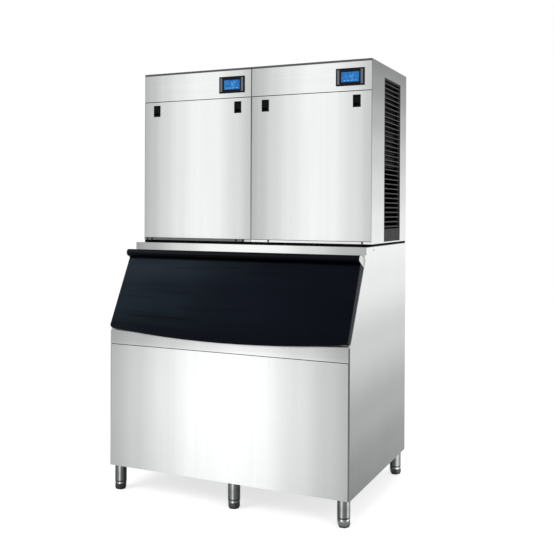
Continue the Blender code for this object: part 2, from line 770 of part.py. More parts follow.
def build_leg(name, x, y):
    bore = FOOT_STEM_RADIUS + GAP
    tube_foot = FOOT_HEIGHT + GAP
    bore_top = tube_foot + FOOT_STEM_LENGTH + FOOT_STEM_CLEARANCE
    leg_profile = [
        (0, LEG_HEIGHT - GAP),
        (LEG_RADIUS, LEG_HEIGHT - GAP),
        (LEG_RADIUS, tube_foot + LAP),
        (LEG_RADIUS - LAP, tube_foot),
        (bore, tube_foot),
        (bore, bore_top),
        (0, bore_top),
    ]
    turned("leg_" + name, leg_profile, FLOOR, CHROME, (x, y, 0))
    axis = empty("foot_axis_" + name, FLOOR, (x, y, 0))
    collar_foot = FOOT_HEIGHT - FOOT_COLLAR
    nut_top = collar_foot - FOOT_GROOVE
    stem_profile = [
        (0, FOOT_HEIGHT + FOOT_STEM_LENGTH),
        (FOOT_STEM_RADIUS, FOOT_HEIGHT + FOOT_STEM_LENGTH),
        (FOOT_STEM_RADIUS, FOOT_HEIGHT),
        (FOOT_COLLAR_RADIUS, FOOT_HEIGHT),
        (FOOT_COLLAR_RADIUS, collar_foot),
        (FOOT_COLLAR_RADIUS - FOOT_GROOVE, collar_foot),
        (FOOT_COLLAR_RADIUS - FOOT_GROOVE, nut_top - LAP),
        (0, nut_top - LAP),
    ]
    nut_profile = [
        (0, nut_top),
        (FOOT_NUT_RADIUS, nut_top),
        (FOOT_NUT_RADIUS, FOOT_TAPER),
        (FOOT_BASE_RADIUS, 0),
        (0, 0),
    ]
    foot = turned("foot_" + name, stem_profile, axis, CHROME)
    nut = turned("foot_nut", nut_profile, axis, None, (0, 0, 0), 6)
    join(foot, nut)


class Head:
    """One ice-making head. side is +1 where its machine compartment is on the right."""

    def __init__(self, name, side):
        self.name = name
        self.side = side
        x = side * (HEAD_WIDTH + HEAD_SPACING) / 2
        self.frame = empty(name + "_head", CABINET, (x, HEAD_SETBACK, BIN_HEIGHT + GASKET_HEIGHT))
        self.inner = HALF_HEAD - SKIN
        self.ice_low = -self.inner
        self.ice_high = HALF_HEAD - MACHINE_WIDTH - PARTITION
        self.rear = HEAD_DEPTH - SKIN

    def part(self, piece):
        return self.name + "_" + piece

    def box(self, piece, low, high, finish=None):
        """A block whose x runs from the inboard side (low) to the outboard side (high)."""
        x_low, x_high = sorted((self.side * low[0], self.side * high[0]))
        return block(
            self.part(piece), (x_low, low[1], low[2]), (x_high, high[1], high[2]), self.frame, finish
        )

    def bar(self, piece, radius, start, end, sides=16):
        """A round bar whose x counts from the inboard side to the outboard side."""
        a = (self.side * start[0], start[1], start[2])
        b = (self.side * end[0], end[1], end[2])
        return rod(self.part(piece), radius, a, b, self.frame, None, sides)

    def build(self):
        self.build_sides()
        self.build_covers()
        self.build_chassis()
        self.build_door()
        self.build_display()
        self.build_grille()
        self.build_evaporator()
        self.build_trough()
        self.build_compressor()
        self.build_condenser()

    def build_sides(self):
        """Side panels, folded in at the back. The outboard one has the grille's window."""
        for label, sign in (("left", -1), ("right", 1)):
            x_low, x_high = sorted((sign * (HALF_HEAD - PANEL_RETURN), sign * HALF_HEAD))
            panel = pan(
                self.part("side_" + label), (x_low, 0, 0), (x_high, HEAD_DEPTH, HEAD_HEIGHT),
                [(-sign, 0, 0), (0, -1, 0), (0, 0, 1), (0, 0, -1)], self.frame, STEEL,
            )
            if sign == self.side:
                window = self.box(
                    "grille_window", (HALF_HEAD - PAST, GRILLE_FRONT, GRILLE_FOOT),
                    (HALF_HEAD + PAST, GRILLE_FRONT + GRILLE_WIDTH, GRILLE_FOOT + GRILLE_HEIGHT),
                )
                cut(panel, window)

    def build_covers(self):
        """Top cover with a narrow lip all round, and the fascia below its front lip."""
        pan(
            self.part("top_cover"), (-self.inner, 0, HEAD_HEIGHT - COVER_LIP),
            (self.inner, self.rear, HEAD_HEIGHT), [(0, 0, -1)], self.frame, STEEL,
        )
        fascia = pan(
            self.part("fascia"), (-self.inner, 0, DOOR_TOP + DOOR_TOP_GAP),
            (self.inner, PANEL_RETURN, HEAD_HEIGHT - COVER_LIP - SEAM), [(0, 1, 0)], self.frame, STEEL,
        )
        edge = DISPLAY_BODY_EDGE - GAP
        half_w = DISPLAY_WIDTH / 2 - edge
        half_h = DISPLAY_HEIGHT / 2 - edge
        middle = DOOR_TOP + DISPLAY_RISE
        window = block(
            self.part("display_window"), (DISPLAY_X - half_w, -PAST, middle - half_h),
            (DISPLAY_X + half_w, PAST, middle + half_h), self.frame,
        )
        cut(fascia, window)

    def build_chassis(self):
        """Base tray with the ice drop, the back, the insulated partition and the electrical box."""
        inner = self.inner
        rear = self.rear
        tray = pan(
            self.part("chassis"), (-inner, 0, GAP), (inner, rear, BASE_STRIP - GAP), [(0, 0, 1)],
            self.frame, GALVANISED,
        )
        floor = GAP + SHEET / 2
        back_face = rear - 0.4 * SHEET
        back = self.box(
            "back", (-inner + LAP, back_face - SHEET, floor),
            (inner - LAP, back_face, HEAD_HEIGHT - COVER_LIP - GAP),
        )
        outer_wall = self.ice_high + PARTITION
        wall = self.box(
            "wall", (-inner + LAP, ICE_DEPTH, floor), (outer_wall, ICE_DEPTH + PARTITION, PARTITION_HEIGHT)
        )
        divider = self.box(
            "divider", (self.ice_high, DOOR_RETURN + DOOR_INNER_GAP, floor),
            (outer_wall, ICE_DEPTH + PARTITION / 2, PARTITION_HEIGHT - LAP),
        )
        electrical = self.box(
            "electrical_box", (self.ice_high + PARTITION / 2, BOX_FRONT, BOX_FOOT),
            (HALF_HEAD - PANEL_RETURN - BOX_SIDE_GAP, BOX_FRONT + BOX_DEPTH, BOX_FOOT + BOX_HEIGHT),
        )
        join(tray, back, wall, divider, electrical, *self.fittings(back_face))
        drop = self.box(
            "drop", (-HALF_HEAD + SHEET + DROP_SIDE_LEDGE, DROP_FRONT, -PAST),
            (self.ice_high - DROP_SIDE_LEDGE, DROP_FRONT + DROP_DEPTH, BASE_STRIP + PAST),
        )
        notch = self.box(
            "grille_notch", (HALF_HEAD - GRILLE_DEPTH - SEAM, GRILLE_FRONT - SEAM, GRILLE_FOOT - SEAM),
            (HALF_HEAD + PAST, GRILLE_FRONT + GRILLE_WIDTH + SEAM, 2 * BASE_STRIP),
        )
        cut(tray, drop, notch, *self.exhaust_slots(back_face))

    def fittings(self, back_face):
        """Water inlet and drain: a nut and a spigot each, on the back behind the ice compartment."""
        made = []
        for i in range(2):
            x = -self.inner + FITTING_EDGE + i * FITTING_SPACING
            start = (x, back_face - SHEET / 2, FITTING_HEIGHT)
            nut_end = (x, back_face + FITTING_REACH / 2, FITTING_HEIGHT)
            end = (x, back_face + FITTING_REACH, FITTING_HEIGHT)
            made.append(self.bar("fitting_nut", FITTING_NUT_RADIUS, start, nut_end, 6))
            made.append(self.bar("fitting_spigot", FITTING_RADIUS, start, end, 16))
        return made

    def exhaust_slots(self, back_face):
        """Slots in the back, behind the fan."""
        high = self.inner - EXHAUST_EDGE
        return [
            self.box(
                "exhaust_slot", (high - EXHAUST_WIDTH, back_face - PAST, foot),
                (high, back_face + PAST, foot + EXHAUST_SLOT),
            )
            for foot in (EXHAUST_FOOT + EXHAUST_PITCH * i for i in range(EXHAUST_SLOTS))
        ]

    def build_door(self):
        """Door: a steel pan hinged at its lower front edge, with two latches near its top corners."""
        hinge = empty(self.part("door_hinge"), self.frame, (0, 0, BASE_STRIP + SEAM / 2))
        half = self.inner - DOOR_SIDE_GAP
        height = DOOR_HEIGHT - SEAM / 2
        door = pan(
            self.part("door"), (-half, 0, 0), (half, DOOR_RETURN, height), [(0, 1, 0)], hinge, STEEL
        )
        clear_w = LATCH_BODY_WIDTH / 2 + GAP
        clear_h = LATCH_BODY_HEIGHT / 2 + GAP
        for label, sign in (("left", -1), ("right", 1)):
            centre = (sign * LATCH_X, 0, height - LATCH_DROP)
            spot = empty(self.part("latch_frame_" + label), hinge, centre)
            hole = block(
                self.part("latch_hole"), (-clear_w, -PAST / 2, -clear_h), (clear_w, PAST / 2, clear_h), spot
            )
            cut(door, hole)
            self.build_latch(label, spot)

    def build_latch(self, label, spot):
        """Latch: a housing with a pocket, and a paddle on two pins near the pocket's top."""
        half_w = LATCH_WIDTH / 2
        half_h = LATCH_HEIGHT / 2
        housing = block(
            self.part("latch_housing_" + label), (-half_w, -LATCH_PROUD, -half_h), (half_w, -GAP, half_h),
            spot, BLACK_PLASTIC,
        )
        bevel(housing, LATCH_EDGE_RADIUS)
        body_w = LATCH_BODY_WIDTH / 2
        body_h = LATCH_BODY_HEIGHT / 2
        body = block(
            self.part("latch_body"), (-body_w, -LATCH_PROUD / 2, -body_h),
            (body_w, LATCH_BODY_DEPTH, body_h), spot,
        )
        pocket_w = body_w - LATCH_WALL
        pocket_h = body_h - LATCH_WALL
        pocket = block(
            self.part("latch_pocket"), (-pocket_w, -PAST, -pocket_h),
            (pocket_w, LATCH_BODY_DEPTH - LATCH_WALL, pocket_h), spot,
        )
        pivot_z = pocket_h - PADDLE_PIN_DROP
        pin_holes = rod(
            self.part("latch_pin_holes"), PADDLE_PIN_RADIUS + GAP, (-body_w - LAP, PADDLE_SHEET, pivot_z),
            (body_w + LAP, PADDLE_SHEET, pivot_z), spot, None, 12,
        )
        join(housing, body)
        cut(housing, pocket, pin_holes)
        self.build_paddle(label, spot, pivot_z, pocket_w, pocket_h, body_w)

    def build_paddle(self, label, spot, pivot_z, pocket_w, pocket_h, body_w):
        pivot = empty(self.part("paddle_pivot_" + label), spot, (0, PADDLE_SHEET, pivot_z))
        half = pocket_w - 2 * GAP
        face = -LATCH_PROUD / 2
        foot = PADDLE_FINGER_GAP - pivot_z - pocket_h
        paddle = block(
            self.part("latch_paddle_" + label), (-half, face - PADDLE_SHEET, foot),
            (half, face, PADDLE_TOP), pivot, BLACK_PLASTIC,
        )
        pins = rod(
            self.part("paddle_pins"), PADDLE_PIN_RADIUS, (GAP - body_w, 0, 0), (body_w - GAP, 0, 0),
            pivot, None, 12,
        )
        boss = block(
            self.part("paddle_boss"), (-half + LAP, -PADDLE_SHEET, -PADDLE_BOSS),
            (half - LAP, PADDLE_PIN_RADIUS + LAP / 2, PADDLE_BOSS), pivot,
        )
        join(paddle, boss, pins)

    def build_display(self):
        """Controller: a bezel through the fascia's window, and its screen."""
        middle = DOOR_TOP + DISPLAY_RISE
        spot = empty(self.part("display_frame"), self.frame, (DISPLAY_X, 0, middle))
        half_w = DISPLAY_WIDTH / 2
        half_h = DISPLAY_HEIGHT / 2
        bezel = block(
            self.part("display_bezel"), (-half_w, -DISPLAY_PROUD, -half_h), (half_w, -GAP, half_h),
            spot, BLACK_PLASTIC,
        )
        bevel(bezel, LATCH_EDGE_RADIUS)
        body_w = half_w - DISPLAY_BODY_EDGE
        body_h = half_h - DISPLAY_BODY_EDGE
        body = block(
            self.part("display_body"), (-body_w, -DISPLAY_PROUD / 2, -body_h),
            (body_w, DISPLAY_BODY_DEPTH, body_h), spot,
        )
        screen_w = SCREEN_WIDTH / 2
        screen_h = SCREEN_HEIGHT / 2
        well = SCREEN_RECESS - DISPLAY_PROUD
        window = block(
            self.part("screen_well"), (-screen_w, -PAST, -screen_h),
            (screen_w, well + SCREEN_SHEET + GAP, screen_h), spot,
        )
        strip_h = half_h - KEY_STRIP_EDGE
        strip_w = KEY_STRIP_WIDTH / 2
        strip_face = -DISPLAY_PROUD - KEY_STRIP_PROUD
        strips = [
            block(
                self.part("key_strip"), (x - strip_w, strip_face, -strip_h),
                (x + strip_w, -DISPLAY_PROUD / 2, strip_h), spot,
            )
            for x in (-(half_w + screen_w) / 2, (half_w + screen_w) / 2)
        ]
        join(bezel, body, *strips)
        cut(bezel, window)
        block(
            self.part("display_screen"), (-screen_w + GAP, well, -screen_h + GAP),
            (screen_w - GAP, well + SCREEN_SHEET, screen_h - GAP), spot, SCREEN,
        )

    def build_grille(self):
        """Outboard grille: a frame with a plain foot and slanting louvres."""
        face = HALF_HEAD - GRILLE_RECESS
        low_y = GRILLE_FRONT + GAP
        high_y = GRILLE_FRONT + GRILLE_WIDTH - GAP
        low_z = GRILLE_FOOT + GAP
        high_z = GRILLE_FOOT + GRILLE_HEIGHT - GAP
        grille = self.box(
            "grille", (HALF_HEAD - GRILLE_DEPTH, low_y, low_z), (face, high_y, high_z), BLACK_PAINT
        )
        way_low = low_z + GRILLE_PLAIN
        way_high = high_z - GRILLE_FRAME
        way = self.box(
            "grille_way", (HALF_HEAD - GRILLE_DEPTH - PAST, low_y + GRILLE_FRAME, way_low),
            (HALF_HEAD + PAST, high_y - GRILLE_FRAME, way_high),
        )
        pitch = (way_high - way_low) / LOUVRES
        middle = (HALF_HEAD - GRILLE_DEPTH + face) / 2
        blade_depth = (GRILLE_DEPTH - 2 * LOUVRE_SETBACK) / cos(LOUVRE_TILT)
        turn = Matrix.Rotation(self.side * LOUVRE_TILT, 3, "Y")
        bm = bmesh.new()
        for i in range(LOUVRES):
            made = bmesh.ops.create_cube(bm, size=1.0)["verts"]
            bmesh.ops.scale(bm, vec=(blade_depth, high_y - low_y - GRILLE_FRAME, LOUVRE_SHEET), verts=made)
            bmesh.ops.rotate(bm, cent=(0, 0, 0), matrix=turn, verts=made)
            place = (self.side * middle, (low_y + high_y) / 2, way_low + pitch * (i + 0.5))
            bmesh.ops.translate(bm, vec=place, verts=made)
        blades = add(self.part("louvres"), mesh_from(bm, "louvres"), self.frame, None)
        cut(grille, way)
        join(grille, blades)

    def build_evaporator(self):
        """Gridded ice-making plate between two side plates, with a distributor along its top."""
        width = CELL_COLUMNS * CELL_PITCH + CELL_WALL
        height = CELL_ROWS * CELL_PITCH + CELL_WALL
        middle = (self.ice_low + self.ice_high) / 2
        left = middle - width / 2
        back = ICE_DEPTH - EVAPORATOR_STANDOFF
        front = back - EVAPORATOR_DEPTH
        top = EVAPORATOR_FOOT + height
        evaporator = self.box(
            "evaporator", (left, front, EVAPORATOR_FOOT), (left + width, back, top), COPPER
        )
        hole = CELL_PITCH - CELL_WALL
        first = CELL_WALL + hole / 2
        bm = bmesh.new()
        for column in range(CELL_COLUMNS):
            for row in range(CELL_ROWS):
                made = bmesh.ops.create_cube(bm, size=1.0)["verts"]
                bmesh.ops.scale(bm, vec=(hole, 2 * CELL_DEPTH, hole), verts=made)
                x = self.side * (left + first + CELL_PITCH * column)
                bmesh.ops.translate(
                    bm, vec=(x, front, EVAPORATOR_FOOT + first + CELL_PITCH * row), verts=made
                )
        cells = add(self.part("cells"), mesh_from(bm, "cells"), self.frame, None)
        cut(evaporator, cells)
        pivot_y = front - CURTAIN_FORWARD
        pivot_z = top + CURTAIN_RISE
        inner_face = width / 2 - LAP
        plates = self.evaporator_sides(middle, inner_face, front, back, top, pivot_y, pivot_z)
        reach = inner_face + SIDE_PLATE / 2
        pipe_y = front + DISTRIBUTOR_SETBACK
        pipe_z = top + DISTRIBUTOR_RISE
        pipe = self.bar(
            "distributor", DISTRIBUTOR_RADIUS, (middle - reach, pipe_y, pipe_z),
            (middle + reach, pipe_y, pipe_z), 12,
        )
        standoffs = [
            self.bar("standoff", STANDOFF_RADIUS, (x, back - 4 * LAP, z), (x, ICE_DEPTH - GAP, z), 8)
            for x in (middle - STANDOFF_ACROSS * width, middle + STANDOFF_ACROSS * width)
            for z in ((EVAPORATOR_FOOT + top) / 2 + a * STANDOFF_UP * height for a in (-1, 1))
        ]
        join(evaporator, *plates, pipe, *standoffs)
        holes = self.bar(
            "curtain_holes", PIN_RADIUS + GAP, (middle - width, pivot_y, pivot_z),
            (middle + width, pivot_y, pivot_z), 16,
        )
        cut(evaporator, holes)
        self.build_curtain(middle, inner_face - CURTAIN_SIDE_GAP, pivot_y, pivot_z)

    def evaporator_sides(self, middle, inner_face, front, back, top, pivot_y, pivot_z):
        """The two side plates, each with an ear that reaches forward to the curtain's pin."""
        foot = EVAPORATOR_FOOT - SIDE_PLATE_EDGE
        ear_high = pivot_z + PIN_EAR
        outline = [
            (front - SIDE_PLATE_LIP, foot),
            (back + SIDE_PLATE_EDGE / 3, foot),
            (back + SIDE_PLATE_EDGE / 3, ear_high),
            (pivot_y - PIN_EAR, ear_high),
            (pivot_y - PIN_EAR, pivot_z - PIN_EAR),
            (front - SIDE_PLATE_LIP, top - SIDE_PLATE_NECK),
        ]
        return [
            side_plate(
                self.part("evaporator_side"), outline, SIDE_PLATE, self.frame, None,
                self.side * middle + sign * (inner_face + SIDE_PLATE / 2),
            )
            for sign in (-1, 1)
        ]

    def build_curtain(self, middle, half, pivot_y, pivot_z):
        """Water curtain: a hanging sheet that turns on two pins in the evaporator's side plates."""
        pivot = empty(self.part("curtain_pivot"), self.frame, (self.side * middle, pivot_y, pivot_z))
        foot = TROUGH_FOOT + TROUGH_HEIGHT + CURTAIN_FOOT_GAP - pivot_z
        curtain = block(
            self.part("curtain"), (-half, -CURTAIN_SHEET, foot), (half, 0, PIN_RADIUS), pivot, CURTAIN
        )
        reach = half + PIN_REACH
        pins = rod(self.part("curtain_pins"), PIN_RADIUS, (-reach, 0, 0), (reach, 0, 0), pivot, None, 16)
        ribs = [
            block(
                self.part("curtain_rib"), (x - RIB_HALF_WIDTH, -CURTAIN_SHEET / 2, foot + PIN_EAR),
                (x + RIB_HALF_WIDTH, RIB_DEPTH, -PIN_EAR), pivot,
            )
            for x in (-half * RIB_PLACE, 0, half * RIB_PLACE)
        ]
        join(curtain, pins, *ribs)

    def build_trough(self):
        """Water trough under the evaporator, with its pump at the outboard end."""
        high_x = self.ice_high - TROUGH_SIDE_GAP
        front = ICE_DEPTH - EVAPORATOR_STANDOFF - EVAPORATOR_DEPTH - TROUGH_REACH
        back = ICE_DEPTH - GAP
        top = TROUGH_FOOT + TROUGH_HEIGHT
        x_low, x_high = sorted((self.side * (self.ice_low + TROUGH_END_GAP), self.side * high_x))
        trough = pan(
            self.part("trough"), (x_low, front, TROUGH_FOOT), (x_high, back, top), [(0, 0, 1)],
            self.frame, WHITE_PLASTIC, TROUGH_WALL,
        )
        pump_x = high_x - PUMP_RADIUS - PUMP_EDGE
        pump_y = (front + back) / 2
        pump = self.bar(
            "pump", PUMP_RADIUS, (pump_x, pump_y, TROUGH_FOOT + TROUGH_WALL / 2),
            (pump_x, pump_y, top + PUMP_RISE),
        )
        join(trough, pump)

    def build_compressor(self):
        """Hermetic compressor on a foot plate, in the rear of the machine compartment."""
        x = self.side * (self.ice_high - COMPRESSOR_RADIUS - COMPRESSOR_SIDE_GAP)
        y = (ICE_DEPTH + PARTITION + HEAD_DEPTH) / 2
        r = COMPRESSOR_RADIUS
        base = TRAY_TOP + GAP
        shoulder = COMPRESSOR_HEIGHT - COMPRESSOR_DOME
        dome = [(r * cos(a), shoulder + COMPRESSOR_DOME * sin(a)) for a in (1.1, 0.7, 0.35, 0)]
        bead = COMPRESSOR_BEAD
        profile = [(0, COMPRESSOR_HEIGHT)] + dome + [
            (r, COMPRESSOR_SEAM + bead),
            (r + bead, COMPRESSOR_SEAM + bead),
            (r + bead, COMPRESSOR_SEAM - bead),
            (r, COMPRESSOR_SEAM - bead),
            (r, COMPRESSOR_BASE + COMPRESSOR_CROWN),
            (COMPRESSOR_CROWN_RADIUS, COMPRESSOR_BASE),
            (0, COMPRESSOR_BASE),
        ]
        can = turned(self.part("compressor"), profile, self.frame, BLACK_PAINT, (x, y, base))
        plate_low = base + COMPRESSOR_BASE + LAP - COMPRESSOR_PLATE
        foot = block(
            self.part("compressor_foot"), (x - r, y - r, plate_low),
            (x + r, y + r, plate_low + COMPRESSOR_PLATE), self.frame,
        )
        grommets = []
        for a in (-GROMMET_PLACE, GROMMET_PLACE):
            for b in (-GROMMET_PLACE, GROMMET_PLACE):
                grommets.append(
                    rod(
                        self.part("grommet"), GROMMET_RADIUS, (x + a, y + b, base),
                        (x + a, y + b, plate_low + LAP), self.frame, None, 8,
                    )
                )
        join(can, foot, *grommets)

    def build_condenser(self):
        """Condenser coil behind the grille, with the fan's shroud, motor and fan inboard of it."""
        outer = HALF_HEAD - GRILLE_DEPTH - COIL_GAP
        coil_in = outer - COIL_DEPTH
        y_low = GRILLE_FRONT + COIL_GAP
        y_high = GRILLE_FRONT + GRILLE_WIDTH - COIL_GAP
        top = COIL_FOOT + COIL_HEIGHT
        centre_y = (y_low + y_high) / 2
        centre_z = COIL_FOOT + COIL_HEIGHT / 2
        coil = self.box("condenser", (coil_in, y_low, COIL_FOOT), (outer, y_high, top), ALUMINIUM)
        pitch = COIL_HEIGHT / COIL_FINS
        bm = bmesh.new()
        for i in range(1, COIL_FINS):
            made = bmesh.ops.create_cube(bm, size=1.0)["verts"]
            size = (2 * COIL_FIN_DEPTH, y_high - y_low + 2 * PAST, COIL_FIN_SLOT)
            bmesh.ops.scale(bm, vec=size, verts=made)
            spot = (self.side * outer, centre_y, COIL_FOOT + pitch * i)
            bmesh.ops.translate(bm, vec=spot, verts=made)
        slots = add(self.part("fin_slots"), mesh_from(bm, "fin_slots"), self.frame, None)
        cut(coil, slots)
        shroud_in = coil_in - SHROUD_DEPTH
        shroud = self.build_shroud(shroud_in, coil_in, y_low, y_high, top)
        fan_face = shroud_in - FAN_FACE_GAP
        motor_face = fan_face - FAN_HUB_DEPTH - MOTOR_GAP
        motor = self.bar(
            "motor", MOTOR_RADIUS, (motor_face - MOTOR_DEPTH, centre_y, centre_z),
            (motor_face, centre_y, centre_z),
        )
        shaft = self.bar(
            "motor_shaft", MOTOR_SHAFT_RADIUS, (motor_face - PAST / 2, centre_y, centre_z),
            (fan_face - 4 * LAP, centre_y, centre_z), 12,
        )
        span = FAN_RADIUS + FAN_TIP_GAP + STRUT_SHEET * 2
        inside = motor_face - PAST / 2
        foot = shroud_in + SHEET / 2
        strut_line = [
            (inside - STRUT_SHEET, -span), (foot, -span), (foot, STRUT_SHEET - span),
            (inside, STRUT_SHEET - span), (inside, span - STRUT_SHEET), (foot, span - STRUT_SHEET),
            (foot, span), (inside - STRUT_SHEET, span),
        ]
        strut = plate(
            self.part("motor_strut"), [(self.side * x, y) for x, y in strut_line], 2 * STRUT_HALF_WIDTH,
            self.frame, None, (0, centre_y, centre_z),
        )
        join(coil, shroud, motor, shaft, strut)
        self.build_fan(fan_face, centre_y, centre_z)

    def build_shroud(self, shroud_in, coil_in, y_low, y_high, top):
        """Sheet box between the coil and the fan, with the fan's ring cut in it and two legs down."""
        centre_y = (y_low + y_high) / 2
        centre_z = COIL_FOOT + COIL_HEIGHT / 2
        shroud = self.box(
            "shroud", (shroud_in, y_low + LAP, TRAY_TOP + GAP), (coil_in + 2 * LAP, y_high - LAP, top - LAP)
        )
        below = self.box(
            "shroud_below", (shroud_in + SHEET, y_low - PAST, -PAST),
            (coil_in + PAST, y_high + PAST, COIL_FOOT - SHROUD_WALL),
        )
        plenum = self.box(
            "plenum", (shroud_in + SHEET, y_low + SHROUD_WALL, COIL_FOOT + SHROUD_WALL),
            (coil_in - LAP, y_high - SHROUD_WALL, top - SHROUD_WALL),
        )
        ring = self.bar(
            "fan_ring", FAN_RADIUS + FAN_TIP_GAP, (shroud_in - PAST, centre_y, centre_z),
            (coil_in - 1.5 * LAP, centre_y, centre_z), 32,
        )
        cut(shroud, below, plenum, ring)
        return shroud

    def build_fan(self, face, centre_y, centre_z):
        """Axial fan on the motor's shaft: a bored hub with pitched blades."""
        axis = empty(self.part("fan_axis"), self.frame, (self.side * face, centre_y, centre_z))
        depth = FAN_HUB_DEPTH * self.side
        fan = rod(self.part("fan"), FAN_HUB_RADIUS, (-depth, 0, 0), (0, 0, 0), axis, BLACK_PLASTIC)
        surfaces = mesh_from(self.blade_surfaces(depth), "fan_blades")
        blades = add(self.part("fan_blades"), surfaces, axis, None)
        thicken(blades, FAN_BLADE_SHEET)
        bore = rod(
            self.part("fan_bore"), MOTOR_SHAFT_RADIUS + GAP, (-2 * depth, 0, 0),
            (-FAN_BORE_END * self.side, 0, 0), axis, None, 12,
        )
        join(fan, blades)
        cut(fan, bore)

    def blade_surfaces(self, depth):
        """The blades as open sheets that climb along the hub as they go round it."""
        steps_out, steps_round = 3, 2
        root = FAN_HUB_RADIUS - 2 * FAN_BLADE_SHEET
        sweep = 2 * pi / FAN_BLADES * FAN_BLADE_COVER
        climb_from, climb = 0.15, 0.7
        bm = bmesh.new()
        for blade in range(FAN_BLADES):
            start = 2 * pi * blade / FAN_BLADES
            grid = []
            for i in range(steps_out + 1):
                radius = root + (FAN_RADIUS - root) * i / steps_out
                row = []
                for j in range(steps_round + 1):
                    turn = start + sweep * (j / steps_round - 0.5)
                    lift = -depth * (climb_from + climb * j / steps_round)
                    row.append(bm.verts.new((lift, radius * cos(turn), radius * sin(turn))))
                grid.append(row)
            for i in range(steps_out):
                for j in range(steps_round):
                    bm.faces.new((grid[i][j], grid[i + 1][j], grid[i + 1][j + 1], grid[i][j + 1]))
        return bm


for old in list(bpy.data.objects):
    bpy.data.objects.remove(old, do_unlink=True)
PARTS = new_collection("cube_ice_machine")
CUTTERS = new_collection("cutters")

STEEL = material("satin_stainless", srgb(0.78, 0.79, 0.80), 0.30, 1.0)
GALVANISED = material("galvanised_sheet", srgb(0.70, 0.72, 0.73), 0.42, 1.0)
ALUMINIUM = material("aluminium_fins", srgb(0.76, 0.77, 0.78), 0.35, 1.0)
COPPER = material("plated_copper", srgb(0.80, 0.78, 0.74), 0.28, 1.0)
CHROME = material("polished_leg", srgb(0.80, 0.80, 0.80), 0.15, 1.0)
BRIGHT_STEEL = material("hinge_steel", srgb(0.78, 0.79, 0.80), 0.35, 1.0)
FOAM = material("foam", srgb(0.85, 0.80, 0.62), 0.90)
LINER = material("liner", srgb(0.86, 0.88, 0.90), 0.45)
WHITE_PLASTIC = material("white_plastic", srgb(0.88, 0.89, 0.90), 0.45)
CURTAIN = material("curtain", srgb(0.75, 0.80, 0.84), 0.35)
LID_PLASTIC = material("dark_lid_plastic", srgb(0.08, 0.10, 0.13), 0.30)
BLACK_PLASTIC = material("black_plastic", srgb(0.05, 0.05, 0.06), 0.45)
BLACK_PAINT = material("black_paint", srgb(0.13, 0.13, 0.14), 0.50)
RUBBER = material("rubber", srgb(0.03, 0.03, 0.03), 0.80)
SCREEN = material("blue_screen", srgb(0.12, 0.45, 0.80), 0.15)

FLOOR = empty("floor_frame", None, (0, FRONT_Y, 0))
CABINET = empty("cabinet_frame", FLOOR, (0, 0, LEG_HEIGHT))
SLOPE = empty("slope_frame", CABINET, (0, 0, SILL_HEIGHT), (SLOPE_ANGLE, 0, 0))
LID = empty("lid_hinge", SLOPE, (0, HINGE_ALONG, HINGE_OUT))
LID_FIXED = empty("lid_hinge_fixed", SLOPE, (0, HINGE_ALONG, HINGE_OUT))

build_shell()
build_insulation()
build_liner()
build_bin_fronts()
build_gasket()
build_lid()
build_hinge_rod()
build_legs()
Head("left", -1).build()
Head("right", 1).build()
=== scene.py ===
"""Looks of the cube ice machine: materials, small trim, studio and camera.

Metres, in the frame of the CAD part. Tones given as three numbers or one level run from 0 to
255, as on a screen.
"""

from math import cos, pi, radians, sin

import bmesh
import bpy
from mathutils import Matrix, Vector


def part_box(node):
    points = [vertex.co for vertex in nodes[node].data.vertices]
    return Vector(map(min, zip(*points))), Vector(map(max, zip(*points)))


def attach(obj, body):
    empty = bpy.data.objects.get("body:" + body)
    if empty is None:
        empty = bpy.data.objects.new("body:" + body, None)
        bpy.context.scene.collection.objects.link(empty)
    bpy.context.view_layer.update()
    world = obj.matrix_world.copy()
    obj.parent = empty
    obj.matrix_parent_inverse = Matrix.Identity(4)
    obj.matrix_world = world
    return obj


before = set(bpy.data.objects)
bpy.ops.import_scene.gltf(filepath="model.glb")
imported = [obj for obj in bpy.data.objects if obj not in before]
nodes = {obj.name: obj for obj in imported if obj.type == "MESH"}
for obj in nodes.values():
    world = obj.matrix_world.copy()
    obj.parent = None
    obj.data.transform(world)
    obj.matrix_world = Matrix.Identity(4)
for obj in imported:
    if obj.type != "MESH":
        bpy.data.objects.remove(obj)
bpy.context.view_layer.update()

# Places read from the CAD nodes
PANEL_LOW, PANEL_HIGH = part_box("bin_front_panel")
SHELL_LOW, SHELL_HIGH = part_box("bin_shell")
LID_LOW, LID_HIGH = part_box("lid_shell")
FRONT_Y = PANEL_LOW[1]
LEG_HEIGHT = SHELL_LOW[2]
COVER_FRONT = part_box("left_top_cover")[0][1]
HEADS = {name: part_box(name + "_door") for name in ("left", "right")}
BEZELS = {name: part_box(name + "_display_bezel") for name in ("left", "right")}
SCREENS = {name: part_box(name + "_display_screen") for name in ("left", "right")}

# How far the painted sweeps of reflected light and shade reach: across the bin, up its side, and
# up a head's side from a foot below the door
HALF_WIDTH = 0.61
SHELL_SWEEP_HEIGHT = 1.07
SIDE_SWEEP_FOOT = 0.015
SIDE_SWEEP_HEIGHT = 0.844

# Heights on the lid: its barrel, the painted shadow on the neck under it, where the painted light
# on the upper left begins and is full, and how far the painted shade at its foot reaches up
BARREL_HIGH = LID_HIGH[2]
BARREL_LOW = BARREL_HIGH - 0.034
BARREL_BLEND = 0.012
NECK_SHADOW = (BARREL_LOW - 0.016, BARREL_LOW - 0.008)
LID_GLOW = (0.99, 1.11)
LID_SHADE_HEIGHT = 0.12

# Seams and turned edges, with painted shade along the seams and painted light and shade on the
# lips: the blur between two tones, and how far each line or lip reaches
SEAM_BLUR = 0.0004
SHEET_SEAM = 0.0008
FASCIA_SEAM = 0.0006
SHELL_LIP = 0.0015
SHELL_LIP_LEVELS = (190, 104)
COVER_LIP = 0.002
COVER_LIP_LEVELS = (90, 90)
FOAM_SHADE_DEPTH = 0.003
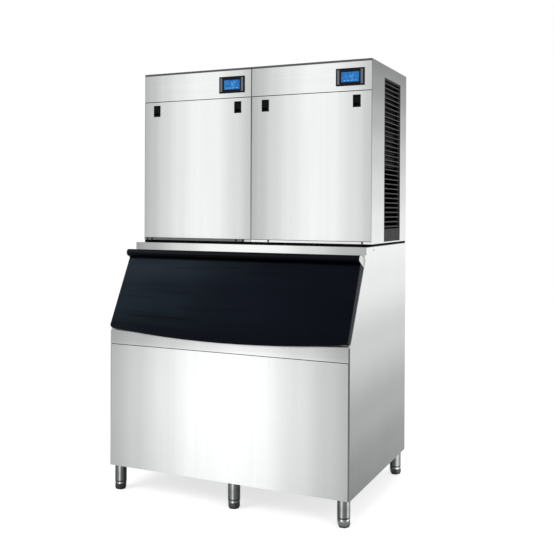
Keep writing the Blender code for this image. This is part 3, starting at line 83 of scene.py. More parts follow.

# Share of the tone left at the front panel's foot under its painted shade, and how far the bin's
# rail leans up
PANEL_KEPT = 0.90
RAIL_LEAN = 0.2

# Base strips under the doors: how deep they are, their top edge and right end, and the levels
# of each strip and its end; the levels paint reflected light, and shade is painted along the top
# edge
STRIP_DEPTH = 0.002
STRIP_TOP = (0.0095, 0.0105)
STRIP_END = (0.036, 0.030)
STRIP_LEVELS = {"left": (118, 214), "right": (246, 246)}

# How far before the ends of the rear fittings the inside of the back's sheet, painted with shade,
# begins
BACK_INSIDE = 0.020

# Dark border along a grille's top, down from it
GRILLE_BORDER = (0.022, 0.018)

# Controllers: figures and dashes start at shares of the screen's width and height, each key
# has marks with a height from its middle and a size, and each figure lights some segments
SCREEN_BORDER = (0.0018, 0.0042)
SCREEN_CELLS = 1500
KEY_STRIP_HALF = 0.0056
KEY_STRIP_EDGE = 0.007
FIGURE_SIZE = (0.0085, 0.0175)
FIGURE_BAR = 0.0022
FIGURE_STEP = 0.0145
FIGURE_SHEET = 0.0004
FIGURE_PLACE = (0.24, 0.40)
DASHES = 4
DASH_SIZE = (0.009, FIGURE_SHEET, 0.0035)
DASH_PLACE = (0.20, 0.2)
DASH_STEP = 0.2
KEY_STEP = 0.019
KEY_LIFT = 0.00015
KEY_MARKS = ((0.0, (0.0052, 0.0005, 0.0012)), (-0.003, (0.0030, 0.0005, 0.0010)))
SEGMENTS = {"1": "bc", "2": "abged", "-": "g"}

# Clips on the base strips, and screws
CLIP_SIZE = (0.0072, 0.0030, 0.0105)
CLIP_LIFT = 0.0005
CLIP_SINK = 0.0004
CLIP_EDGE = 0.0006
CLIP_SPOTS = {"left": (-0.590, -0.564, -0.081, -0.043), "right": (0.093, 0.565)}
BACK_STEP = 0.002
BACK_SCREWS = 5
BACK_SCREW_EDGE = 0.0185
BACK_SCREW_MARGIN = 0.03
BACK_SCREW_SIZE = (0.0040, 0.0018)
SHELL_SCREW_PLACE = (-0.101, 1.171)
SHELL_SCREW_SIZE = (0.0045, 0.0016)

# Surround: tone and strength of its light. Floor: tone, and the glow that lifts it to white
# where it is seen
SKY_TONE = (0.97, 0.98, 1.0, 1.0)
SKY_STRENGTH = 0.55
FLOOR_TONE = (0.62, 0.62, 0.62, 1.0)
FLOOR_GLOW = 0.68
FLOOR_RADIUS = 9.0

# Lamps: place, size and power; all of them point at one spot
LAMP_TARGET = (0, 0, 1.0)
LAMPS = {
    "key_light": ((-2.6, -3.6, 3.4), (2.6, 2.6), 95),
    "fill_light": ((3.6, -2.4, 2.2), (2.2, 2.6), 45),
    "top_light": ((0.3, 0.4, 4.4), (2.4, 2.4), 45),
}

# Camera, fitted to the photograph
CAMERA = Vector((1.7503, FRONT_Y - 3.2729, LEG_HEIGHT + 1.2268))
CAMERA_YAW = radians(24.35)
CAMERA_ROLL = radians(0.29)
LENS = 53.2
SENSOR_WIDTH = 36.0
SHIFT_Y = -0.1187

# Painted sweeps of reflected light and shade over the steel: places from 0 to 1, and screen levels
FRONT_SWEEP = (
    (0.01, 172), (0.12, 194), (0.25, 218), (0.38, 240), (0.52, 246), (0.64, 242), (0.80, 213),
    (0.92, 189), (1.0, 172))
SILL_SWEEP = (
    (0.0, 168), (0.13, 187), (0.27, 208), (0.42, 228), (0.57, 243), (0.66, 241), (0.82, 215),
    (1.0, 176))
RAIL_SWEEP = (
    (0.0, 160), (0.07, 176), (0.23, 222), (0.36, 250), (0.52, 255), (0.64, 250), (0.78, 222),
    (0.93, 186), (1.0, 178))
SHELL_SWEEP = ((0.0, 98), (0.1, 106), (0.3, 138), (0.6, 194), (0.85, 236), (1.0, 246))
HEAD_SWEEP = (
    (0.0, 188), (0.08, 200), (0.19, 219), (0.33, 236), (0.50, 250), (0.68, 248), (0.86, 227),
    (1.0, 205))
SIDE_SWEEP = (
    (0.0, 240), (0.12, 234), (0.3, 217), (0.5, 197), (0.7, 166), (0.88, 132), (1.0, 106))

# Painted reflections on the polished legs: how far round each leg its stripes are turned, in
# degrees, then the stripes' places (0 to 1 across the leg) and screen levels
LEG_STRIPES = {
    "left": (35.0, (
        (0.0, 20), (0.06, 50), (0.15, 84), (0.24, 108), (0.32, 146), (0.385, 222), (0.44, 170),
        (0.50, 92), (0.58, 84), (0.66, 66), (0.74, 44), (0.82, 16), (0.90, 4), (1.0, 2))),
    "middle": (27.2, (
        (0.0, 20), (0.06, 50), (0.15, 90), (0.24, 122), (0.32, 156), (0.385, 222), (0.44, 160),
        (0.50, 92), (0.58, 96), (0.66, 70), (0.76, 72), (0.86, 54), (0.93, 14), (1.0, 6))),
    "right_front": (19.6, (
        (0.0, 20), (0.06, 34), (0.13, 70), (0.20, 100), (0.26, 130), (0.32, 216), (0.37, 206),
        (0.43, 118), (0.57, 98), (0.64, 86), (0.71, 80), (0.755, 176), (0.83, 206), (0.90, 180),
        (0.95, 90), (1.0, 40))),
    "right_rear": (15.9, (
        (0.0, 6), (0.12, 6), (0.20, 30), (0.27, 78), (0.45, 82), (0.52, 124), (0.60, 190),
        (0.68, 232), (0.78, 206), (0.88, 150), (1.0, 110))),
}

# Rings of the legs and feet: heights on a leg of the height given, and how much of the
# stripes' tone each has; the bright ring above the nut is a painted highlight
RINGS_HEIGHT = 0.120
LEG_RINGS = (
    (0.0, 0.04), (0.0085, 0.07), (0.0105, 0.20), (0.0262, 0.24), (0.0278, 1.5), (0.0360, 1.5),
    (0.0372, 0.22), (0.0440, 0.26), (0.0460, 0.86), (0.080, 0.74), (0.108, 0.92), (0.120, 0.80))

# Radius of each rounded sheet edge; other nodes keep their CAD edges
ROUNDED = {
    "bin_shell": 0.0008, "bin_front_panel": 0.0005, "bin_sill": 0.0005, "bin_top_deck": 0.0006,
    "lid_inner_pan": 0.0008, "lid_shell": 0.0010, "bin_liner": 0.0006,
}
HEAD_SHEETS = ("door", "fascia", "top_cover", "side_left", "side_right")
HEAD_EDGE = 0.0005

# Vertices closer than this are joined; edges sharper than these angles, in degrees, are
# rounded or split
WELD_DISTANCE = 0.00001
ROUND_ANGLE = 50
SPLIT_ANGLE = 38


def srgb(red, green, blue):
    """A screen colour from 0 to 255 as a linear colour."""
    def one(value):
        c = value / 255
        return ((c + 0.055) / 1.055) ** 2.4 if c > 0.04045 else c / 12.92
    return (one(red), one(green), one(blue), 1.0)


def grey(level):
    return srgb(level, level, level)


def dimmed(colour, share):
    """A colour with only a share of its light."""
    return tuple(c * share for c in colour[:3]) + (1.0,)


BLACK = grey(0)
WHITE = grey(255)
# Painted shade in the seams and gaps between sheets
SEAM_SHADE = srgb(52, 53, 54)


class Nodes:
    """A material's node tree, with the few helpers that the finishes share."""

    def __init__(self, name, roughness=0.5, metallic=0.0, specular=0.5):
        self.material = bpy.data.materials.new(name)
        self.material.use_nodes = True
        self.tree = self.material.node_tree
        self.shader = self.tree.nodes["Principled BSDF"]
        self.shader.inputs["Roughness"].default_value = roughness
        self.shader.inputs["Metallic"].default_value = metallic
        self.shader.inputs["Specular IOR Level"].default_value = specular
        coordinates = self.node("ShaderNodeTexCoord")
        self.place = coordinates.outputs["Object"]
        self.normal = coordinates.outputs["Normal"]

    def node(self, kind, **values):
        made = self.tree.nodes.new(kind)
        for key, value in values.items():
            setattr(made, key, value)
        return made

    def link(self, output, target):
        self.tree.links.new(output, target)

    def mapped(self, scale, rotation=(0, 0, 0)):
        mapping = self.node("ShaderNodeMapping")
        mapping.inputs["Scale"].default_value = scale
        mapping.inputs["Rotation"].default_value = rotation
        self.link(self.place, mapping.inputs["Vector"])
        return mapping.outputs["Vector"]

    def noise(self, scale, detail=3.0):
        """Noise; scale is one number, or three for a stretched grain."""
        made = self.node("ShaderNodeTexNoise")
        made.inputs["Detail"].default_value = detail
        stretched = isinstance(scale, tuple)
        self.link(self.mapped(scale) if stretched else self.place, made.inputs["Vector"])
        made.inputs["Scale"].default_value = 1.0 if stretched else scale
        return made.outputs["Fac"]

    def cells(self, scale):
        """Distance from the middles of irregular cells."""
        made = self.node("ShaderNodeTexVoronoi")
        made.inputs["Scale"].default_value = scale
        self.link(self.place, made.inputs["Vector"])
        return made.outputs["Distance"]

    def spread(self, value, low, high, start=0.0, end=1.0):
        """A value from start to end, spread over low to high and held there."""
        made = self.node("ShaderNodeMapRange")
        made.inputs["From Min"].default_value = start
        made.inputs["From Max"].default_value = end
        made.inputs["To Min"].default_value = low
        made.inputs["To Max"].default_value = high
        self.link(value, made.inputs["Value"])
        return made.outputs["Result"]

    def fill(self, sockets, values):
        """Sets each socket to its value, or links it where the value is an output."""
        for socket, value in zip(sockets, values):
            if isinstance(value, (int, float, tuple)):
                socket.default_value = value
            else:
                self.link(value, socket)

    def math(self, operation, first, second=0.0):
        made = self.node("ShaderNodeMath", operation=operation)
        self.fill(made.inputs, (first, second))
        return made.outputs[0]

    def away(self, value, place):
        """How far a value lies from a place, either way."""
        return self.math("ABSOLUTE", self.math("SUBTRACT", value, place))

    def axis(self, letter, of=None):
        """One coordinate of the place, or of another vector."""
        made = self.node("ShaderNodeSeparateXYZ")
        self.link(of or self.place, made.inputs[0])
        return made.outputs[letter]

    def facing(self, letter):
        """How far the surface faces along an axis, from -1 to 1."""
        return self.axis(letter, self.normal)

    def along(self, letter, start, end):
        """0 up to one place on an axis, 1 from another."""
        return self.spread(self.axis(letter), 0.0, 1.0, start, end)

    def behind(self, depth):
        """0 on what stands in front of a depth (Y), 1 behind it."""
        return self.along("Y", depth, depth + SEAM_BLUR)

    def ramp(self, value, stops, smooth=True):
        made = self.node("ShaderNodeValToRGB")
        ramp = made.color_ramp
        ramp.interpolation = "EASE" if smooth else "LINEAR"
        for _ in stops[2:]:
            ramp.elements.new(0.5)
        for element, (position, colour) in zip(ramp.elements, stops):
            element.position = position
            element.color = colour
        self.link(value, made.inputs["Fac"])
        return made.outputs["Color"]

    def mix(self, factor, first, second, blend="MIX"):
        made = self.node("ShaderNodeMix", data_type="RGBA", blend_type=blend)
        self.fill((made.inputs[0], made.inputs[6], made.inputs[7]), (factor, first, second))
        return made.outputs[2]

    def bump(self, height, distance, strength, facing=None):
        made = self.node("ShaderNodeBump")
        made.inputs["Strength"].default_value = strength
        made.inputs["Distance"].default_value = distance
        self.link(height, made.inputs["Height"])
        if facing:
            self.link(facing, made.inputs["Normal"])
        self.link(made.outputs["Normal"], self.shader.inputs["Normal"])

    def leaning(self, lean):
        """The surface's direction, turned up a little."""
        turned = self.node("ShaderNodeVectorMath", operation="ADD")
        turned.inputs[1].default_value = (0.0, 0.0, lean)
        self.link(self.node("ShaderNodeNewGeometry").outputs["Normal"], turned.inputs[0])
        unit = self.node("ShaderNodeVectorMath", operation="NORMALIZE")
        self.link(turned.outputs[0], unit.inputs[0])
        return unit.outputs[0]

    def colour(self, output):
        self.link(output, self.shader.inputs["Base Color"])

    def roughness(self, output):
        self.link(output, self.shader.inputs["Roughness"])

    def glow(self, output, strength):
        self.link(output, self.shader.inputs["Emission Color"])
        self.shader.inputs["Emission Strength"].default_value = strength


def steel(name, grain, along, sweep, low, high, roughness=(0.24, 0.34), lip=None, seams=(),
          fade=None, lean=0.0):
    """Brushed stainless: fine grain along one axis, and a painted sweep of reflected light and
    shade along another.

    A lip gives the depth (Y) up to which the piece has a level, and that level on the left and
    right half of the machine, as painted light and shade on its front edge. Each seam is an axis,
    the place on it where painted shade darkens the steel, and the side (-1 or 1) that does. A fade
    gives two heights, and how much of the tone is left at the lower one, as painted shade.
    A lean turns the face up a little, as a rolled edge does.
    """
    made = Nodes(name, metallic=1.0)
    lines = made.noise(tuple(5 if letter == grain else 900 for letter in "XYZ"), 4.0)
    bands = made.noise(tuple(1.2 if letter == grain else 60 for letter in "XYZ"), 2.0)
    smudge = made.noise(3.5, 3.0)
    # Painted reflected light and shade: a ramp of tone along one axis
    stops = [(position, srgb(level - 1, level + 1, level)) for position, level in sweep]
    tone = made.ramp(made.along(along, low, high), stops)
    tone = made.mix(made.spread(lines, 0.0, 0.10), tone, srgb(140, 143, 145))
    tone = made.mix(made.spread(bands, 0.0, 0.05, 0.35, 0.7), tone, srgb(160, 164, 165))
    # Painted shade deepening towards the foot
    if fade:
        foot, top, kept = fade
        tone = made.mix(made.spread(made.axis("Z"), 1 - kept, 0.0, foot, top), tone, BLACK)
    # Painted light and shade on the front lip, one level for each half of the machine
    if lip:
        depth, left, right = lip
        level = made.mix(made.math("GREATER_THAN", made.axis("X"), 0.0), grey(left), grey(right))
        tone = made.mix(made.behind(depth), level, tone)
    # Painted shade along each seam
    for letter, place, way in seams:
        tone = made.mix(made.along(letter, place - way * SEAM_BLUR, place), tone, SEAM_SHADE)
    made.colour(tone)
    grained = made.spread(lines, *roughness)
    made.roughness(made.math("ADD", grained, made.spread(smudge, -0.03, 0.03)))
    made.bump(lines, 0.00004, 0.6, made.leaning(lean) if lean else None)
    return made.material


def plastic(name, colour, roughness, grain_size=600.0, depth=0.00004, specular=0.4):
    """Moulded plastic: fine texture, slight unevenness of tone and gloss."""
    made = Nodes(name, specular=specular)
    grain = made.noise(grain_size, 3.0)
    cloud = made.noise(7.0, 3.0)
    made.colour(made.mix(made.spread(cloud, 0.0, 1.0, 0.3, 0.7), colour, dimmed(colour, 0.82)))
    grained = made.spread(grain, roughness - 0.05, roughness + 0.05)
    made.roughness(made.math("ADD", grained, made.spread(cloud, -0.04, 0.04)))
    made.bump(grain, depth, 0.6)
    return made.material


def metal(name, colour, roughness, grain_size=250.0, depth=0.00003):
    """Plain, cast or plated metal with a faint mottle."""
    made = Nodes(name, metallic=1.0)
    grain = made.noise(grain_size, 3.0)
    cloud = made.noise(9.0, 4.0)
    made.colour(made.mix(cloud, colour, dimmed(colour, 0.85)))
    made.roughness(made.spread(cloud, roughness - 0.05, roughness + 0.07, 0.3, 0.7))
    made.bump(grain, depth, 0.5)
    return made.material


def compressor_finish():
    """Sprayed black paint with a faint peel."""
    made = Nodes("compressor_finish", specular=0.4)
    peel = made.noise(420.0, 2.0)
    dust = made.noise(16.0, 4.0)
    dusty = made.spread(dust, 0.0, 0.6, 0.45, 0.75)
    made.colour(made.mix(dusty, srgb(28, 28, 30), srgb(36, 36, 38)))
    made.roughness(made.spread(dust, 0.35, 0.50))
    made.bump(peel, 0.00006, 0.5)
    return made.material


def grille_finish():
    """Dark sprayed paint with a faint mottle of dust: painted light on the blades' upward faces, a
    dark top border, and painted highlights on their outer edges, most of all on the upper blades."""
    made = Nodes("grille_finish", specular=0.12)
    peel = made.noise(420.0, 2.0)
    dust = made.noise(16.0, 4.0)
    low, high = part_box("right_grille")
    dusty = made.spread(dust, 0.0, 0.6, 0.45, 0.75)
    tone = made.mix(dusty, srgb(45, 45, 46), srgb(54, 54, 55))
    border = made.spread(
        made.axis("Z"), 0.0, 0.8, *(high[2] - reach for reach in GRILLE_BORDER))
    tone = made.mix(border, tone, srgb(8, 8, 9))
    # Painted light from above on the blades' upward faces
    upward = made.spread(made.facing("Z"), 0.0, 1.0, 0.5, 0.9)
    tone = made.mix(upward, tone, srgb(96, 96, 97))
    # Painted highlights on the blades' outer edges, brighter on the upper blades
    outward = made.math("GREATER_THAN", made.math("ABSOLUTE", made.facing("X")), 0.8)
    edge = made.math("MULTIPLY", outward, made.math("LESS_THAN", made.facing("Z"), -0.15))
    edge_highlight = made.mix(made.along("Z", low[2], high[2]), srgb(46, 46, 47), srgb(92, 92, 93))
    made.colour(made.mix(edge, tone, edge_highlight))
    made.roughness(made.spread(dust, 0.50, 0.65))
    made.bump(peel, 0.00006, 0.5)
    return made.material


def hinge_finish():
    """Plain steel, with painted shade darkening it towards the back of the ears."""
    made = Nodes("hinge_steel", metallic=1.0)
    low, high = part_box("hinge_rod")
    cloud = made.noise(160.0, 3.0)
    # Painted shade towards the back of the ears
    back = made.along("Y", low[1] * 0.55 + high[1] * 0.45, high[1])
    tone = made.mix(back, srgb(232, 234, 234), srgb(120, 122, 122))
    made.colour(made.mix(made.spread(cloud, 0.0, 0.6, 0.45, 0.6), tone, srgb(150, 153, 152)))
    made.roughness(made.spread(cloud, 0.20, 0.32))
    made.bump(cloud, 0.00003, 0.5)
    return made.material


def lid_finish():
    """Dark blue-grey moulded plastic: long faint creases across the lid with painted shade in
    them, painted light towards its left, most of all at its upper left, and on its ends, a painted
    shadow under the barrel, painted shade at its foot, and a soft painted highlight along the
    barrel."""
    made = Nodes("lid_finish", specular=0.03)
    grain = made.noise(520.0, 2.0)
    creases = made.noise((1.3, 34.0, 34.0), 3.0)
    cloud = made.noise((1.6, 5.0, 5.0), 3.0)
    side = made.along("X", -HALF_WIDTH, HALF_WIDTH)
    # Painted light falling from the left: the lid darkens towards its right
    tone = made.ramp(side, [
        (0.0, srgb(28, 35, 43)), (0.25, srgb(23, 30, 38)), (0.5, srgb(14, 18, 27)),
        (1.0, srgb(7, 8, 17)),
    ])
    # Painted light on the upper left
    leftward = made.spread(side, 1.0, 0.0, 0.30, 0.62)
    upper = made.math("MULTIPLY", made.spread(made.axis("Z"), 0.0, 0.22, *LID_GLOW), leftward)
    tone = made.mix(upper, tone, srgb(66, 76, 85))
    tone = made.mix(made.spread(cloud, 0.0, 0.6, 0.4, 0.75), tone, srgb(12, 17, 24))
    # Painted shade in the creases
    tone = made.mix(made.spread(creases, 0.0, 0.75, 0.56, 0.70), tone, srgb(8, 11, 17))
    # Painted shade at the lid's foot
    shade = made.spread(made.axis("Z"), 0.85, 0.0, LID_LOW[2], LID_LOW[2] + LID_SHADE_HEIGHT)
    tone = made.mix(shade, tone, srgb(7, 10, 17))
    # Painted shadow on the neck under the barrel
    tone = made.mix(made.spread(made.axis("Z"), 0.0, 0.9, *NECK_SHADOW), tone, srgb(1, 2, 4))
    # Painted highlight along the barrel, brighter to the left
    barrel = made.along("Z", BARREL_LOW, BARREL_LOW + BARREL_BLEND)
    shine = made.ramp(made.along("Z", BARREL_LOW, BARREL_HIGH), [
        (0.40, BLACK), (0.58, WHITE), (0.74, WHITE), (0.92, BLACK),
    ])
    lit = made.mix(side, srgb(27, 31, 36), srgb(12, 15, 21))
    tone = made.mix(barrel, tone, made.mix(shine, srgb(1, 2, 4), lit))
    # Painted light on the flat ends
    end = made.spread(made.facing("X"), 0.0, 0.9, 0.6, 0.95)
    flat_end = made.math("MULTIPLY", end, made.math("SUBTRACT", 1.0, barrel))
    made.colour(made.mix(flat_end, tone, srgb(58, 62, 66)))
    made.roughness(made.spread(cloud, 0.30, 0.44))
    made.bump(made.math("ADD", creases, made.math("MULTIPLY", grain, 0.03)), 0.0012, 0.5)
    return made.material


def screen_finish(head):
    """Backlit blue screen: a faint cell grid, brighter patches and a black border."""
    made = Nodes(head + "_screen_finish", roughness=0.12, specular=0.28)
    grid = made.node("ShaderNodeTexBrick", offset=0.0)
    for socket, value in {
        "Scale": 1.0, "Brick Width": 1.0, "Row Height": 1.0, "Mortar Size": 0.06,
        "Color1": srgb(14, 90, 156), "Color2": srgb(16, 96, 164), "Mortar": srgb(10, 72, 136),
    }.items():
        grid.inputs[socket].default_value = value
    made.link(made.mapped((SCREEN_CELLS,) * 3, (pi / 2, 0, 0)), grid.inputs["Vector"])
    bright = made.spread(made.noise(70.0, 2.0), 0.0, 0.9, 0.35, 0.7)
    tone = made.mix(bright, grid.outputs["Color"], srgb(28, 118, 186))
    low, high = SCREENS[head]
    for letter, axis, border in (("X", 0, SCREEN_BORDER[0]), ("Z", 2, SCREEN_BORDER[1])):
        from_middle = made.away(made.axis(letter), (low[axis] + high[axis]) / 2)
        edge = made.math("GREATER_THAN", from_middle, (high[axis] - low[axis]) / 2 - border)
        tone = made.mix(edge, tone, srgb(8, 14, 26))
    made.colour(tone)
    made.glow(tone, 0.24)
    return made.material


def bezel_finish(head):
    """Dark frame round the screen, with a lighter grey strip of keys at each side."""
    low, high = BEZELS[head]
    screen_low, screen_high = SCREENS[head]
    made = Nodes(head + "_bezel_finish", specular=0.10)
    cloud = made.noise(40.0, 2.0)
    grain = made.noise(900.0, 2.0)
    from_middle = made.away(made.axis("X"), (low[0] + high[0]) / 2)
    strip_middle = (high[0] - low[0] + screen_high[0] - screen_low[0]) / 4
    beside = made.math("LESS_THAN", made.away(from_middle, strip_middle), KEY_STRIP_HALF)
    up = made.away(made.axis("Z"), (low[2] + high[2]) / 2)
    strip = made.math(
        "MULTIPLY", beside, made.math("LESS_THAN", up, (high[2] - low[2]) / 2 - KEY_STRIP_EDGE))
    frame_tone = made.mix(cloud, srgb(9, 10, 15), srgb(17, 19, 25))
    strip_tone = made.mix(cloud, srgb(98, 99, 106), srgb(116, 116, 121))
    made.colour(made.mix(strip, frame_tone, strip_tone))
    made.roughness(made.spread(grain, 0.30, 0.42))
    made.bump(grain, 0.00002, 0.5)
    return made.material


def chassis_finish(head, level, end_level):
    """Galvanised sheet with a faint spangle, and painted shade on the inside of the back; its
    strip under the door is plain steel, with painted reflections as a level for each head and one
    of its own at the right end, and painted shade along its top edge."""
    made = Nodes(head + "_galvanised_finish", metallic=1.0)
    spangle = made.cells(70.0)
    cloud = made.noise(9.0, 4.0)
    grain = made.noise(60.0, 3.0)
    sheet = made.mix(cloud, srgb(200, 204, 206), srgb(172, 177, 180))
    sheet = made.mix(made.math("MULTIPLY", spangle, 0.35), sheet, srgb(224, 228, 230))
    low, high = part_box(head + "_chassis")
    # Painted shade on the inside of the back
    forward = made.math("LESS_THAN", made.facing("Y"), -0.5)
    inside = made.math("MULTIPLY", made.behind(high[1] - BACK_INSIDE), forward)
    sheet = made.mix(inside, sheet, srgb(11, 11, 12))
    # Painted reflections: the strip's level for each head, and another at its right end
    end = made.along("X", *(high[0] - reach for reach in STRIP_END))
    strip = made.mix(end, grey(level), grey(end_level))
    # Painted shade along the strip's top edge
    top_edge = made.along("Z", *(low[2] + rise for rise in STRIP_TOP))
    strip = made.mix(top_edge, strip, SEAM_SHADE)
    made.colour(made.mix(made.behind(low[1] + STRIP_DEPTH), strip, sheet))
    made.roughness(made.spread(cloud, 0.32, 0.45, 0.3, 0.7))
    made.bump(grain, 0.00006, 0.5)
    return made.material


def coil_finish():
    """Near-black aluminium fins in close vertical lines, their dark tone standing for the shade
    behind the grille.
    """
    made = Nodes("coil_finish", specular=0.04)
    fins = made.noise((4, 900, 4), 1.0)
    # Dark tone standing for the shade behind the grille
    made.colour(made.mix(made.spread(fins, 0.0, 1.0, 0.35, 0.65), srgb(10, 10, 11), srgb(4, 4, 5)))
    made.roughness(made.spread(fins, 0.4, 0.6))
    made.bump(fins, 0.0004, 0.6)
    return made.material


def foam_finish():
    """Cream foam, with painted shade on its front where the panel seam shows it."""
    made = Nodes("foam_finish", specular=0.2)
    cells = made.cells(420.0)
    cream = made.mix(cells, srgb(224, 205, 150), srgb(188, 160, 100))
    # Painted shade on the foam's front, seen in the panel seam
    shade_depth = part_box("bin_insulation")[0][1] + FOAM_SHADE_DEPTH
    made.colour(made.mix(made.behind(shade_depth), SEAM_SHADE, cream))
    made.roughness(made.spread(cells, 0.8, 0.98))
    made.bump(cells, 0.0006, 0.6)
    return made.material


def leg_finish(name):
    """Polished tube: painted reflections of a studio as bright and dark stripes round the chrome,
    a painted highlight ring, and a darker foot.
    """
    made = Nodes(name + "_finish", metallic=1.0)
    cloud = made.noise(45.0, 4.0)
    # Painted reflections: bright and dark stripes turned round each leg
    degrees, mirrored = next(row for place, row in LEG_STRIPES.items() if "_" + place in name)
    turn = radians(degrees)
    side = made.node("ShaderNodeVectorMath", operation="DOT_PRODUCT")
    side.inputs[1].default_value = (-cos(turn), -sin(turn), 0.0)
    made.link(made.normal, side.inputs[0])
    across = made.spread(side.outputs["Value"], 1.0, 0.0, -1.0, 1.0)
    stripes = [(place, srgb(level, level + 1, level + 1)) for place, level in mirrored]
    # Rings by height, with a painted highlight ring above the nut
    rings = [(height / RINGS_HEIGHT, (level, level, level, 1.0)) for height, level in LEG_RINGS]
    tone = made.mix(
        1.0, made.ramp(across, stripes, smooth=False),
        made.ramp(made.along("Z", 0.0, LEG_HEIGHT), rings, smooth=False), "MULTIPLY")
    made.colour(made.mix(made.spread(cloud, 0.0, 0.18), tone, srgb(120, 122, 124)))
    made.roughness(made.spread(cloud, 0.12, 0.26))
    made.bump(cloud, 0.0001, 0.3)
    return made.material


def bin_looks():
    """Finishes of the bin, its lid and its legs, by node."""
    across = (-HALF_WIDTH, HALF_WIDTH)
    sill_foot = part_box("bin_sill")[0][2]
    looks = {
        # Painted light and shade on its front lip
        "bin_shell": steel(
            "bin_shell_steel", "Z", "Z", SHELL_SWEEP, LEG_HEIGHT, LEG_HEIGHT + SHELL_SWEEP_HEIGHT,
            lip=(FRONT_Y + SHELL_LIP, *SHELL_LIP_LEVELS)),
        # Painted shade along its right edge, deepening towards its foot
        "bin_front_panel": steel(
            "bin_front_steel", "Z", "X", FRONT_SWEEP, *across,
            seams=(("X", PANEL_HIGH[0] - SHEET_SEAM, 1),),
            fade=(PANEL_LOW[2], PANEL_HIGH[2], PANEL_KEPT)),
        # Painted shade along the sill's foot
        "bin_sill": steel(
            "bin_sill_steel", "X", "X", SILL_SWEEP, *across,
            seams=(("Z", sill_foot + SHEET_SEAM, -1),)),
        "bin_top_deck": steel(
            "bin_rail_steel", "X", "X", RAIL_SWEEP, *across, roughness=(0.14, 0.20),
            lean=RAIL_LEAN),
        "bin_insulation": foam_finish(),
        "bin_liner": plastic("liner_finish", srgb(226, 230, 234), 0.42, 300.0),
        "bin_gasket": plastic("gasket_finish", srgb(5, 5, 6), 0.75, 900.0, 0.0002, 0.04),
        "hinge_rod": hinge_finish(),
        "lid_shell": lid_finish(),
        "lid_inner_pan": plastic("lid_pan_finish", srgb(34, 38, 44), 0.45),
    }
    looks.update({name: leg_finish(name) for name in nodes if name.startswith(("leg_", "foot_"))})
    return looks


def head_looks():
    """Finishes of the two heads, by node."""
    latch = plastic("latch_finish", srgb(6, 6, 7), 0.45, 900.0, 0.00006, 0.09)
    shared = {
        "grille": grille_finish(),
        "evaporator": metal("evaporator_finish", srgb(206, 200, 186), 0.25, 120.0, 0.00005),
        "curtain": plastic("curtain_finish", srgb(196, 208, 218), 0.3, 400.0),
        "trough": plastic("trough_finish", srgb(228, 230, 232), 0.4),
        "compressor": compressor_finish(),
        "condenser": coil_finish(),
        "fan": plastic("fan_finish", srgb(24, 24, 26), 0.45),
        "latch_housing_left": latch,
        "latch_housing_right": latch,
        "latch_paddle_left": latch,
        "latch_paddle_right": latch,
    }
    looks = {}
    for head, (low, high) in HEADS.items():
        across = (low[0], high[0])
        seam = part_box(head + "_fascia")[0][2] + FASCIA_SEAM
        foot = low[2] - SIDE_SWEEP_FOOT
        side = steel(
            head + "_side_steel", "Z", "Z", SIDE_SWEEP, foot, foot + SIDE_SWEEP_HEIGHT)
        own = dict(
            shared,
            door=steel(head + "_door_steel", "Z", "X", HEAD_SWEEP, *across),
            # Painted shade along the seam under the fascia
            fascia=steel(
                head + "_fascia_steel", "X", "X", HEAD_SWEEP, *across, seams=(("Z", seam, -1),)),
            # Painted shade on the cover's front lip
            top_cover=steel(
                head + "_cover_steel", "X", "X", HEAD_SWEEP, *across,
                lip=(COVER_FRONT + COVER_LIP, *COVER_LIP_LEVELS)),
            side_left=side,
            side_right=side,
            display_bezel=bezel_finish(head),
            display_screen=screen_finish(head),
            chassis=chassis_finish(head, *STRIP_LEVELS[head]),
        )
        looks.update({head + "_" + kind: look for kind, look in own.items()})
    return looks


def finish_nodes():
    """Puts each node's finish in all its slots."""
    for name, look in {**bin_looks(), **head_looks()}.items():
        for slot in nodes[name].material_slots:
            slot.material = look


def shape_edges():
    """Welds each node, rounds its sheet edges a little and shades it smoothly."""
    rounded = dict(ROUNDED)
    rounded.update({head + "_" + sheet: HEAD_EDGE for head in HEADS for sheet in HEAD_SHEETS})
    for name, node in nodes.items():
        mesh = node.data
        if "custom_normal" in mesh.attributes:
            mesh.attributes.remove(mesh.attributes["custom_normal"])
        mesh.shade_smooth()
        weld = node.modifiers.new("weld", "WELD")
        weld.merge_threshold = WELD_DISTANCE
        if name in rounded:
            edge = node.modifiers.new("edge", "BEVEL")
            edge.width = rounded[name]
            edge.segments = 2
            edge.limit_method = "ANGLE"
            edge.angle_limit = radians(ROUND_ANGLE)
            edge.harden_normals = True
        else:
            split = node.modifiers.new("split", "EDGE_SPLIT")
            split.split_angle = radians(SPLIT_ANGLE)
            split.use_edge_sharp = False


def new_object(name, bm, look):
    """An object from bm, which is freed, with one material."""
    mesh = bpy.data.meshes.new(name)
    bm.to_mesh(mesh)
    bm.free()
    made = bpy.data.objects.new(name, mesh)
    bpy.context.scene.collection.objects.link(made)
    mesh.materials.append(look)
    return made


def new_piece(name, bm, look, body):
    """An object from bm that moves with a body."""
    made = new_object(name, bm, look)
    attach(made, body)


def add_box(bm, centre, size):
    verts = bmesh.ops.create_cube(bm, size=1.0)["verts"]
    bmesh.ops.scale(bm, vec=size, verts=verts)
    bmesh.ops.translate(bm, vec=centre, verts=verts)


